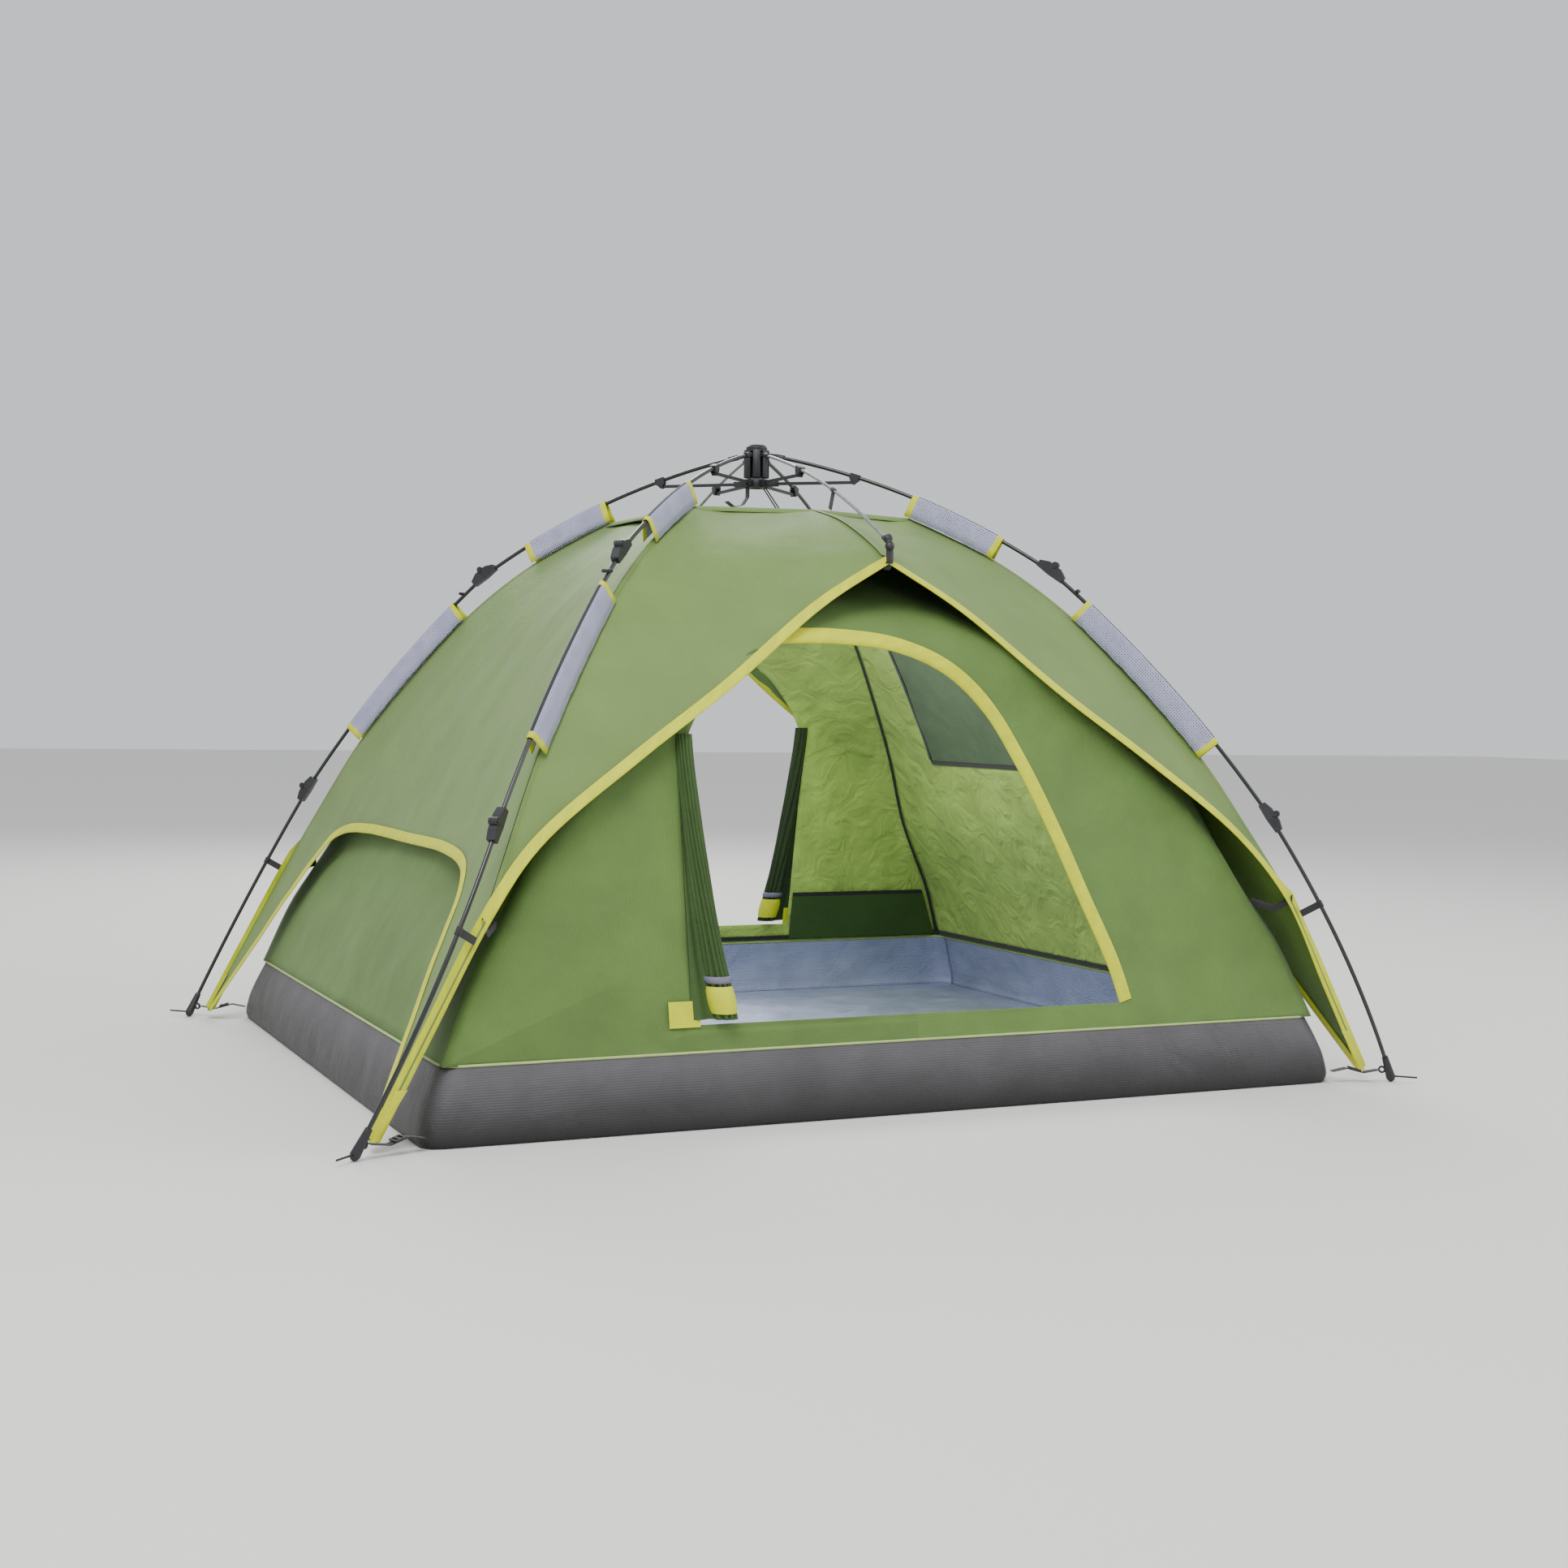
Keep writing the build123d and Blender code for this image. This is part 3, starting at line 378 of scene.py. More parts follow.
class Sheet:
    """Gathers grids into one mesh, with UVs in metres along and across the cloth."""

    def __init__(self, name):
        self.name = name
        self.points = []
        self.faces = []
        self.uvs = []
        self.slots = []
        self.area = 0.0
        self.spans = [0.0, 0.0]

    def add(self, grid, slot=0, closed=False, slots=None, centre=FLY_MIDDLE):
        """Adds a grid of points, with its faces turned away from a centre."""
        rows, columns = grid.shape[:2]
        outward = (normals(grid) * (grid - np.array(centre))).sum() > 0
        start = len(self.points)
        along = np.linalg.norm(np.diff(grid, axis=0), axis=2)
        across = np.linalg.norm(np.diff(grid, axis=1), axis=2)
        u = np.cumsum(np.concatenate([np.zeros((1, columns)), along]), axis=0)
        v = np.cumsum(np.concatenate([np.zeros((rows, 1)), across], axis=1), axis=1)
        self.points += [tuple(p) for p in grid.reshape(-1, 3)]
        last = columns if closed else columns - 1
        for i in range(rows - 1):
            for j in range(last):
                k = (j + 1) % columns
                corner = [(i, j), (i + 1, j), (i + 1, k), (i, k)]
                if not outward:
                    corner.reverse()
                self.faces.append([start + a * columns + b for a, b in corner])
                self.uvs += [(u[a, b], v[a, b] if k or b else v[a, -1]) for a, b in corner]
                self.slots.append(slot if slots is None else slots[i][j])
        a, b = np.diff(grid, axis=0)[:, :-1], np.diff(grid, axis=1)[:-1]
        self.area += float(np.linalg.norm(np.cross(a, b), axis=2).sum())
        self.spans[0] += float(v[:, -1].max())
        self.spans[1] = max(self.spans[1], float(u[-1].max()))
        return self

    def build(self, materials, thickness=0.0, merge=False):
        mesh = bpy.data.meshes.new(self.name)
        mesh.from_pydata(self.points, [], self.faces)
        layer = mesh.uv_layers.new(name="cloth")
        layer.data.foreach_set("uv", np.array(self.uvs, np.float32).ravel())
        mesh.polygons.foreach_set("material_index", self.slots)
        mesh.polygons.foreach_set("use_smooth", [True] * len(mesh.polygons))
        for material in materials:
            mesh.materials.append(material)
        piece = bpy.data.objects.new(self.name, mesh)
        bpy.context.scene.collection.objects.link(piece)
        if merge:
            weld = piece.modifiers.new("weld", "WELD")
            weld.merge_threshold = 0.0004
        if thickness:
            solid = piece.modifiers.new("thickness", "SOLIDIFY")
            solid.thickness = thickness
            solid.offset = 0
            solid.material_offset = 1 if len(materials) > 1 and max(self.slots) == 0 else 0
        return piece

    def flat(self):
        """Cut size and area of the cloth: it is cut to the surface that it makes."""
        width, length = self.spans
        return (width, max(length, 1.02 * self.area / width)), self.area


def declare(sheet):
    """Works out a sheet's cut rectangle; one that fills little of its rectangle gets a shorter
    rectangle. Nothing is kept.
    """
    flat, area = sheet.flat()
    share = area / (flat[0] * flat[1])
    if share < 0.3:
        flat = (flat[0], area / (0.32 * flat[0]))


def binding(edge, normal, inward, width, lift):
    """Tape folded over an edge of cloth: from one face round the edge to the other."""
    tangent = np.gradient(edge, axis=0)
    across = np.cross(normal, tangent)
    across /= np.maximum(np.linalg.norm(across, axis=1, keepdims=True), 1e-12)
    across *= np.sign((across * inward).sum(axis=1))[:, None]
    rolls = [(width, lift), (0.0, lift), (-0.8 * lift, 0.0), (0.0, -lift), (width, -lift)]
    steps = [rolls[0], (0.66 * width, lift * 1.15), (0.33 * width, lift * 1.15), *rolls[1:4]]
    steps += [(0.5 * width, -lift), rolls[4]]
    return np.stack([edge + across * a + normal * b for a, b in steps], axis=1)


def tube_grid(path, radius, count=10):
    """Points round a path, for piping and cord."""
    tangent = np.gradient(path, axis=0)
    tangent /= np.linalg.norm(tangent, axis=1, keepdims=True)
    up = np.array([0.0, 0.0, 1.0])
    side = np.cross(tangent, up)
    side /= np.maximum(np.linalg.norm(side, axis=1, keepdims=True), 1e-9)
    top = np.cross(side, tangent)
    angles = np.linspace(0, 2 * math.pi, count, endpoint=False)
    return np.stack(
        [path + side * radius * math.cos(a) + top * radius * math.sin(a) for a in angles], axis=1
    )


def mirror(grid, x=1, y=1):
    return grid * np.array([x, y, 1.0])


# ------------------------------------------------------------ materials
def add(tree, kind, settings=None, links=None):
    """Adds a node, sets its values and inputs, and links its inputs."""
    made = tree.nodes.new(kind)
    for key, value in (settings or {}).items():
        if isinstance(key, int) or key in made.inputs:
            made.inputs[key].default_value = value
        else:
            setattr(made, key, value)
    for key, output in (links or {}).items():
        tree.links.new(output, made.inputs[key])
    return made


def principled(name, colour, **sockets):
    """A material with uniform values on the shader's own sockets."""
    material = bpy.data.materials.new(name)
    material.use_nodes = True
    tree = material.node_tree
    shader = tree.nodes["Principled BSDF"]
    shader.inputs["Base Color"].default_value = colour
    for key, value in sockets.items():
        shader.inputs[key.replace("_", " ")].default_value = value
    return material, tree, shader


def tinted(colour, share):
    """The colour made lighter or darker, by a share."""
    return (*[min(1.0, c * share) for c in colour[:3]], 1.0)


def bands_per_metre(pitch):
    """Scale of a wave texture whose bands lie a pitch apart, in metres."""
    return math.pi / (10 * pitch)


def mottled(tree, coordinates, colour, spread, size):
    """Colour that drifts a little over the cloth."""
    drift = add(
        tree,
        "ShaderNodeTexNoise",
        {"Scale": 1 / size, "Detail": 5.0},
        {"Vector": coordinates},
    )
    ramp = add(tree, "ShaderNodeValToRGB", {}, {"Fac": drift.outputs["Fac"]})
    ramp.color_ramp.elements[0].position = 0.3
    ramp.color_ramp.elements[1].position = 0.7
    ramp.color_ramp.elements[0].color = tinted(colour, 1 - spread)
    ramp.color_ramp.elements[1].color = tinted(colour, 1 + spread)
    return ramp.outputs["Color"]


def woven(name, colour, pitch, depth, spread=0.08, crease=0.0, painted_shade_height=0.0, **sockets):
    """Plain weave seen as fine crossing threads, drawn as coarse as it needs to show.

    Given a height, painted shade darkens the cloth from that height down to the ground, and painted
    light makes it a little paler at and above that height.
    """
    material, tree, shader = principled(name, colour, **sockets)
    place = add(tree, "ShaderNodeTexCoord")
    cloth = add(tree, "ShaderNodeUVMap", {"uv_map": "cloth"})
    scale = bands_per_metre(pitch)
    warp, weft = [
        add(
            tree,
            "ShaderNodeTexWave",
            {"bands_direction": axis, "Scale": scale, "Distortion": 0.6, "Detail": 1.0},
            {"Vector": cloth.outputs["UV"]},
        )
        for axis in "XY"
    ]
    threads = add(
        tree,
        "ShaderNodeMath",
        {"operation": "ADD"},
        {0: warp.outputs["Fac"], 1: weft.outputs["Fac"]},
    )
    shade = mottled(tree, place.outputs["Object"], colour, spread, 0.11)
    mixed = add(
        tree,
        "ShaderNodeMix",
        {"data_type": "RGBA", "blend_type": "MULTIPLY", 0: 0.22},
        {6: shade, 7: threads.outputs[0]},
    )
    # painted shade and light: the colour is multiplied from 0.05 at the ground up to 1.15 at the
    # given height and above
    if painted_shade_height:
        up = add(tree, "ShaderNodeSeparateXYZ", {}, {"Vector": place.outputs["Object"]})
        painted_shade_factor = add(
            tree,
            "ShaderNodeMapRange",
            {1: 0.0, 2: painted_shade_height, 3: 0.05, 4: 1.15},
            {0: up.outputs["Z"]},
        )
        mixed = add(
            tree,
            "ShaderNodeMix",
            {"data_type": "RGBA", "blend_type": "MULTIPLY", 0: 1.0},
            {6: mixed.outputs[2], 7: painted_shade_factor.outputs[0]},
        )
    tree.links.new(mixed.outputs[2], shader.inputs["Base Color"])
    bump = add(
        tree,
        "ShaderNodeBump",
        {"Strength": 0.6, "Distance": depth},
        {"Height": threads.outputs[0]},
    )
    if crease:
        folds = add(
            tree,
            "ShaderNodeTexNoise",
            {"Scale": 14.0, "Detail": 3.0, "Distortion": 1.2},
            {"Vector": place.outputs["Object"]},
        )
        bump = add(
            tree,
            "ShaderNodeBump",
            {"Strength": 0.5, "Distance": crease},
            {"Height": folds.outputs["Fac"], "Normal": bump.outputs["Normal"]},
        )
    tree.links.new(bump.outputs["Normal"], shader.inputs["Normal"])
    return material


def knitted_mesh(name, colour, pitch, opening, **sockets):
    """Knitted mesh: threads with open holes between them, drawn coarse."""
    material, tree, shader = principled(name, colour, **sockets)
    cloth = add(tree, "ShaderNodeUVMap", {"uv_map": "cloth"})
    holes = add(
        tree,
        "ShaderNodeTexVoronoi",
        {"feature": "F1", "Scale": 1 / pitch, "Randomness": 0.15},
        {"Vector": cloth.outputs["UV"]},
    )
    solid = add(
        tree,
        "ShaderNodeMath",
        {"operation": "GREATER_THAN", 1: opening},
        {0: holes.outputs["Distance"]},
    )
    shade = mottled(tree, cloth.outputs["UV"], colour, 0.10, 0.05)
    tree.links.new(shade, shader.inputs["Base Color"])
    tree.links.new(solid.outputs[0], shader.inputs["Alpha"])
    bump = add(
        tree,
        "ShaderNodeBump",
        {"Strength": 0.5, "Distance": 0.0006},
        {"Height": holes.outputs["Distance"]},
    )
    tree.links.new(bump.outputs["Normal"], shader.inputs["Normal"])
    return material


def ribbed(name, colour, pitch, depth, on_cad=False, **sockets):
    """Grosgrain or webbing: close ribs across the tape, with a line of stitches."""
    material, tree, shader = principled(name, colour, **sockets)
    if on_cad:
        place = add(tree, "ShaderNodeTexCoord").outputs["Object"]
    else:
        place = add(tree, "ShaderNodeUVMap", {"uv_map": "cloth"}).outputs["UV"]
    ribs = add(
        tree,
        "ShaderNodeTexWave",
        {"bands_direction": "DIAGONAL" if on_cad else "X", "Scale": bands_per_metre(pitch)},
        {"Vector": place},
    )
    shade = mottled(tree, place, colour, 0.10, 0.03)
    mixed = add(
        tree,
        "ShaderNodeMix",
        {"data_type": "RGBA", "blend_type": "MULTIPLY", 0: 0.25},
        {6: shade, 7: ribs.outputs["Fac"]},
    )
    tree.links.new(mixed.outputs[2], shader.inputs["Base Color"])
    bump = add(
        tree,
        "ShaderNodeBump",
        {"Strength": 0.7, "Distance": depth},
        {"Height": ribs.outputs["Fac"]},
    )
    tree.links.new(bump.outputs["Normal"], shader.inputs["Normal"])
    return material


def moulded(name, colour, grain, depth, wear=0.35, **sockets):
    """Spark-eroded grain of moulded plastic, rubbed paler along its edges."""
    material, tree, shader = principled(name, colour, **sockets)
    place = add(tree, "ShaderNodeTexCoord").outputs["Object"]
    grit = add(tree, "ShaderNodeTexNoise", {"Scale": 1 / grain, "Detail": 2.0}, {"Vector": place})
    scuffs = add(tree, "ShaderNodeTexNoise", {"Scale": 60.0, "Detail": 6.0}, {"Vector": place})
    edges = add(tree, "ShaderNodeNewGeometry").outputs["Pointiness"]
    rubbed = add(tree, "ShaderNodeMapRange", {1: 0.52, 2: 0.62, 3: 0.0, 4: wear}, {0: edges})
    worn = add(
        tree,
        "ShaderNodeMath",
        {"operation": "MULTIPLY"},
        {0: rubbed.outputs[0], 1: scuffs.outputs["Fac"]},
    )
    shade = mottled(tree, place, colour, 0.18, 0.02)
    mixed = add(
        tree,
        "ShaderNodeMix",
        {"data_type": "RGBA", 7: tinted(colour, 4.0)},
        {0: worn.outputs[0], 6: shade},
    )
    tree.links.new(mixed.outputs[2], shader.inputs["Base Color"])
    bump = add(
        tree,
        "ShaderNodeBump",
        {"Strength": 0.4, "Distance": depth},
        {"Height": grit.outputs["Fac"]},
    )
    tree.links.new(bump.outputs["Normal"], shader.inputs["Normal"])
    return material


def pultruded(name, colour, **sockets):
    """Glass-fibre rod: resin gloss over faint streaks that run along the fibres."""
    material, tree, shader = principled(name, colour, **sockets)
    place = add(tree, "ShaderNodeTexCoord").outputs["Object"]
    streaks = add(
        tree,
        "ShaderNodeTexNoise",
        {"Scale": 420.0, "Detail": 3.0, "Roughness": 0.7},
        {"Vector": place},
    )
    shade = mottled(tree, place, colour, 0.25, 0.012)
    tree.links.new(shade, shader.inputs["Base Color"])
    rough = add(tree, "ShaderNodeMapRange", {3: 0.22, 4: 0.42}, {0: streaks.outputs["Fac"]})
    tree.links.new(rough.outputs[0], shader.inputs["Roughness"])
    bump = add(
        tree,
        "ShaderNodeBump",
        {"Strength": 0.25, "Distance": 0.0002},
        {"Height": streaks.outputs["Fac"]},
    )
    tree.links.new(bump.outputs["Normal"], shader.inputs["Normal"])
    return material


def drawn_steel(name, colour):
    """Zinc-plated drawn wire: fine scratches round a bright grey."""
    material, tree, shader = principled(name, colour, Metallic=1.0)
    place = add(tree, "ShaderNodeTexCoord").outputs["Object"]
    lines = add(tree, "ShaderNodeTexNoise", {"Scale": 900.0, "Detail": 2.0}, {"Vector": place})
    rough = add(tree, "ShaderNodeMapRange", {3: 0.22, 4: 0.45}, {0: lines.outputs["Fac"]})
    tree.links.new(rough.outputs[0], shader.inputs["Roughness"])
    shade = mottled(tree, place, colour, 0.08, 0.01)
    tree.links.new(shade, shader.inputs["Base Color"])
    return material


MADE = {}


def finish_named(name, maker, *values, **sockets):
    if name not in MADE:
        MADE[name] = maker(name, *values, **sockets)
    return MADE[name]


def fly_cloth():
    # coated polyester taffeta: a close weave with a soft sheen and shallow creases
    colour = bpy.context.scene.tent_fly.colour
    return finish_named(
        "coated_polyester_taffeta", woven, colour, 0.004, 0.0003, 0.07, 0.004,
        Roughness=0.62, Sheen_Weight=0.08, Sheen_Roughness=0.5, IOR=1.5,
    )


def fly_lining():
    # polyurethane coating on the fly's inner face: smoother and slightly shiny
    colour = bpy.context.scene.tent_fly.lining
    return finish_named(
        "polyurethane_coated_face", woven, colour, 0.004, 0.0002, 0.07, 0.004,
        Roughness=0.45, IOR=1.5,
    )


def tape_cloth():
    # polyester grosgrain: close ribs across the tape catch the light in fine lines
    colour = bpy.context.scene.tent_fly.tape_colour
    return finish_named(
        "polyester_grosgrain", ribbed, colour, 0.003, 0.0003,
        Roughness=0.6, Sheen_Weight=0.05, IOR=1.5,
    )


def wall_cloth():
    # uncoated breathable polyester: matt, softly creased
    colour = bpy.context.scene.tent_inner.outside
    return finish_named(
        "breathable_polyester", woven, colour, 0.004, 0.0003, 0.10, 0.005,
        Roughness=0.75, Sheen_Weight=0.06, IOR=1.5,
    )


def wall_cloth_painted_light():
    # painted light: the same cloth from inside, given a paler colour for the daylight that comes
    # through it
    colour = bpy.context.scene.tent_inner.inside
    return finish_named(
        "breathable_polyester_lit", woven, colour, 0.004, 0.0003, 0.16, 0.028,
        Roughness=0.8, Sheen_Weight=0.06, IOR=1.5,
    )


def window_cloth():
    # warp-knitted polyester mesh: a thin veil of threads with open holes
    colour = bpy.context.scene.tent_inner.mesh
    return finish_named(
        "warp_knitted_mesh", knitted_mesh, colour, 0.004, 0.34, Roughness=0.8, IOR=1.5
    )


def tub_cloth():
    # coated oxford: coarse weave under a thick coating, slightly shiny and stiffly creased; painted
    # shade darkens the walls towards the ground below 0.12 m, and painted light makes them a little
    # paler at their top
    colour = bpy.context.scene.tent_floor.outside
    return finish_named(
        "coated_oxford", woven, colour, 0.005, 0.0005, 0.16, 0.007, 0.12, Roughness=0.5, IOR=1.5
    )


def ground_cloth():
    # woven polyethylene ground sheet: flat glossy strands and hard wrinkles
    colour = bpy.context.scene.tent_floor.inside
    return finish_named(
        "woven_polyethylene", woven, colour, 0.006, 0.0006, 0.14, 0.010, Roughness=0.42, IOR=1.51
    )


def piping_cloth():
    # bias-bound piping cord: tight cloth over a round core
    colour = bpy.context.scene.tent_floor.piping_colour
    return finish_named("bias_bound_piping", ribbed, colour, 0.003, 0.0002, Roughness=0.6, IOR=1.5)


def sleeve_cloth():
    # spacer mesh: a thick knit with rows of small holes, pale and matt
    colour = bpy.context.scene.tent_sleeve.colour
    return finish_named(
        "spacer_mesh", knitted_mesh, colour, 0.005, 0.22, Roughness=0.85, Sheen_Weight=0.3, IOR=1.5
    )


def base_cloth():
    # coated polyester strip: darker and smoother than the breathable walls
    return finish_named(
        "coated_polyester_strip", woven, hex_colour("#34501C"), 0.004, 0.0003,
        Roughness=0.55, IOR=1.5,
    )


def door_cloth_painted_shade(name, colour):
    # painted shade: the walls' breathable polyester, gathered, is given a darker colour for the
    # shade in its deep folds
    return finish_named(
        f"gathered_polyester_{name}", woven, colour, 0.004, 0.0003, 0.14, 0.006,
        Roughness=0.75, IOR=1.5,
    )


def sleeve_tape():
    # grey polyester ribbon: fine ribs and a dull sheen
    return finish_named(
        "polyester_ribbon", ribbed, hex_colour("#77758C"), 0.003, 0.0002, Roughness=0.6, IOR=1.5
    )


def webbing_cloth():
    # woven polyamide webbing: ribbed black band with a faint sheen
    colour = bpy.context.scene.tent_frame.webbing
    return finish_named(
        "woven_polyamide", ribbed, colour, 0.002, 0.0004, True,
        Roughness=0.7, Sheen_Weight=0.2, IOR=1.53,
    )


def black_plastic():
    # injection-moulded glass-filled nylon: fine grain, dull sheen, paler rubbed edges
    colour = bpy.context.scene.tent_frame.plastic
    return finish_named(
        "moulded_nylon", moulded, colour, 0.0012, 0.00012, Roughness=0.5, IOR=1.53
    )


def pole_finish():
    # pultruded glass fibre in black resin: hard gloss along each rod
    colour = bpy.context.scene.tent_frame.pole
    return finish_named("pultruded_glass_fibre", pultruded, colour, Coat_Weight=0.3, IOR=1.52)


def rod_finish():
    # pultruded glass fibre in grey resin
    colour = bpy.context.scene.tent_frame.rod
    return finish_named("pultruded_grey_rod", pultruded, colour, Coat_Weight=0.2, IOR=1.52)


def steel_finish():
    # zinc-plated drawn steel: bright grey with fine scratches
    return finish_named("zinc_plated_steel", drawn_steel, hex_colour("#B9BCC0"))


# ------------------------------------------------------------ shape of the fly
def ridge_curve():
    """The fly's edge under the front right leg, mirrored to plus Y, from the top to the tip."""
    points = [(r * LEG_COS, r * LEG_SIN, z) for r, z in FLY_RIDGE]
    upper = smooth(points, 240)
    tail = between(np.array([points[-1]]), np.array([FLY_TIP]), 60)[0]
    return np.concatenate([upper, tail[1:]])


RIDGE = ridge_curve()


def ridge_at(heights):
    order = np.argsort(RIDGE[:, 2])
    z = RIDGE[order, 2]
    return np.stack([np.interp(heights, z, RIDGE[order, k]) for k in range(3)], axis=1)


def fly_station_curves(stations, count):
    """Leg edge and free edge that the same stations pair, each as a curve."""
    both = np.array([[height, *edge] for height, edge in stations], float)
    curve = smooth(both, count)
    return ridge_at(curve[:, 0]), curve[:, 1:]


def sagged(grid, settings, seed):
    """Pulls a panel in between its edges and lays soft wrinkles over it."""
    n = facing(grid, FLY_MIDDLE)
    columns = grid.shape[1]
    share = np.linspace(0, 1, columns)
    hollow = 4 * share * (1 - share)
    span = np.linalg.norm(grid[:, -1] - grid[:, 0], axis=1)
    depth = settings.sag * span[:, None] * hollow[None, :]
    soft = ripples(grid, settings.wrinkle, 0.11, (1.0, 1.0, 0.45), seed)
    soft *= np.minimum(1, hollow[None, :] * 2.0) * np.minimum(1, span[:, None] / 0.25)
    return grid - n * (depth + soft)[:, :, None], n


def door_side_grids():
    """Half of the panel over the front doorway: roof part, then the part beside the arch."""
    peak = smooth([(0.0, depth, height) for depth, height in FLY_PEAK], 16)
    ends = [FLY_RIDGE[0][1], DOOR_ARCH[0][0]]
    heights = np.interp(lengths(peak) / lengths(peak)[-1], [0, 1], ends)
    top = between(ridge_at(heights), peak, 26)
    stations = [(height, (half, depth, low)) for height, half, depth, low in DOOR_ARCH]
    leg, edge = fly_station_curves(stations, 64)
    low = between(leg, edge, 26)
    return np.concatenate([top[:-1], low]), len(top) - 1


def side_grids():
    """Half of the panel over one end: roof part, then the part beside the arch."""
    first = SIDE_ARCH[0]
    heights = np.linspace(FLY_RIDGE[0][1], first[0], 40)
    leg = ridge_at(heights)
    middle = ridge_at(np.linspace(FLY_RIDGE[0][1], first[2], 40)) * np.array([1.0, 0.0, 1.0])
    top = between(leg, middle, 40)
    stations = []
    for height, half, low in SIDE_ARCH:
        stations.append((height, (float(ridge_at([low])[0, 0]), half, low)))
    leg, edge = fly_station_curves(stations, 56)
    low = between(leg, edge, 40)
    return np.concatenate([top[:-1], low]), len(top) - 1


def fly_panels(settings):
    """Every fly panel's two halves, by name, with the row where its arch starts."""
    door, door_row = door_side_grids()
    door, door_n = sagged(door, settings, 3.1)
    side, side_row = side_grids()
    side, side_n = full_width_sag(side, settings)
    panels = {}
    for name, y in (("front", -1), ("back", 1)):
        halves = [(mirror(door, x, y), mirror(door_n, x, y)) for x in (1, -1)]
        panels[name] = (halves, door_row)
    for name, x in (("right", 1), ("left", -1)):
        halves = [(mirror(side, x, y), mirror(side_n, x, y)) for y in (-1, 1)]
        panels[name] = (halves, side_row)
    return panels


def full_width_sag(grid, settings):
    """Hollow that is deepest in the middle of the end panel, and fades into the tails."""
    n = facing(grid, FLY_MIDDLE)
    spread = np.abs(grid[:, :, 1]) / np.maximum(np.abs(grid[:, :1, 1]), 1e-6)
    hollow = np.clip(1 - spread**2, 0, 1)
    span = 2 * np.abs(grid[:, 0, 1])
    fade = np.clip((grid[:, 0, 2] - 0.30) / 0.30, 0, 1)
    depth = settings.sag * (span * fade)[:, None] * hollow
    soft = ripples(grid, settings.wrinkle, 0.13, (1.0, 1.0, 0.45), 9.7)
    soft *= np.minimum(1, hollow * 2)
    return grid - n * (depth + soft)[:, :, None], n


class TENT_OT_fly(bpy.types.Operator):
    """Sews the fly: four panels, a roof patch, flat seams and taped edges"""

    bl_idname = "object.tent_fly"
    bl_label = "Fly"

    def execute(self, context):
        settings = context.scene.tent_fly
        pieces = []
        seams = Sheet("fly_seams")
        tape = Sheet("fly_tape")
        for name, (halves, arch_row) in fly_panels(settings).items():
            panel = Sheet(f"fly_{name}_panel")
            for grid, _ in halves:
                panel.add(grid)
            piece = panel.build([fly_cloth(), fly_lining()], settings.cloth, merge=True)
            declare(panel)
            pieces.append(piece)
            edges = []
            for grid, n in halves:
                edge, normal = grid[arch_row:, -1], n[arch_row:, -1]
                inward = grid[arch_row:, -2] - edge
                edges.append((edge, normal, inward))
                seams.add(seam_strip(grid[:, 0], n[:, 0], grid[:, 1] - grid[:, 0]))
            if name in RIDGES:
                grid, n = halves[0]
                middle = grid[:arch_row, -1]
                seams.add(flat_strip(middle, n[:arch_row, -1], PEAK_SEAM_HALF))
            joined = [np.concatenate([a[::-1], b[1:]]) for a, b in zip(*edges)]
            joined[1] /= np.linalg.norm(joined[1], axis=1, keepdims=True)
            tape.add(binding(*joined, settings.tape, TAPE_LIFT))
        for x in (1, -1):
            for y in (1, -1):
                tape.add(tail_tip(x, y))
        roof = roof_sheet("fly_roof", FLY_RIDGE[0], FLY_PEAK[0][0], FLY_ROOF_RISE)
        piece = roof.build([fly_cloth(), fly_lining()], settings.cloth, merge=True)
        declare(roof)
        pieces.append(piece)
        seam_piece = seams.build([fly_cloth()])
        declare(seams)
        tape_piece = tape.build([tape_cloth()])
        declare(tape)
        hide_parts("fly")
        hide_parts("fly_trim")
        for piece in [*pieces, seam_piece, tape_piece]:
            hang(piece)
        return {"FINISHED"}


def hang(piece):
    """Rides on the tent, with a mesh of its own."""
    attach(piece, TENT)
    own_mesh(piece)


def seam_strip(line, normal, inward):
    """One side of the felled seam under a leg."""
    inward = inward / np.maximum(np.linalg.norm(inward, axis=1, keepdims=True), 1e-9)
    rise = normal * SEAM_RISE
    rows = [
        line + rise * 1.6,
        line + rise * 1.8 + inward * SEAM_FOLD,
        line + inward * SEAM_WIDTH + rise * 0.4,
    ]
    return np.stack(rows, axis=1)


def flat_strip(line, normal, half):
    """Flat seam laid over a line, a little raised in its middle."""
    tangent = np.gradient(line, axis=0)
    across = np.cross(normal, tangent)
    across /= np.maximum(np.linalg.norm(across, axis=1, keepdims=True), 1e-9)
    lifts = [(-half, 0.0006), (-0.6 * half, 0.0022), (0.6 * half, 0.0022), (half, 0.0006)]
    return np.stack([line + across * a + np.array([0, 0, 1]) * b for a, b in lifts], axis=1)


def tail_tip(x, y):
    """Folded tape that ends a corner tail, where it runs down to the foot."""
    corner = np.array(FLY_TIP)
    rise = np.array([-0.045, -0.002, 0.088])
    grid = []
    for share in np.linspace(0, 1, 8):
        centre = corner + rise * share
        half = 0.008 + 0.010 * share
        row = [centre + np.array([-half, 0.0022, 0]), centre + np.array([0.0022, 0.0022, 0])]
        row += [centre + np.array([0.0022, -half, 0])]
        grid.append(row)
    return mirror(np.array(grid), x, y)


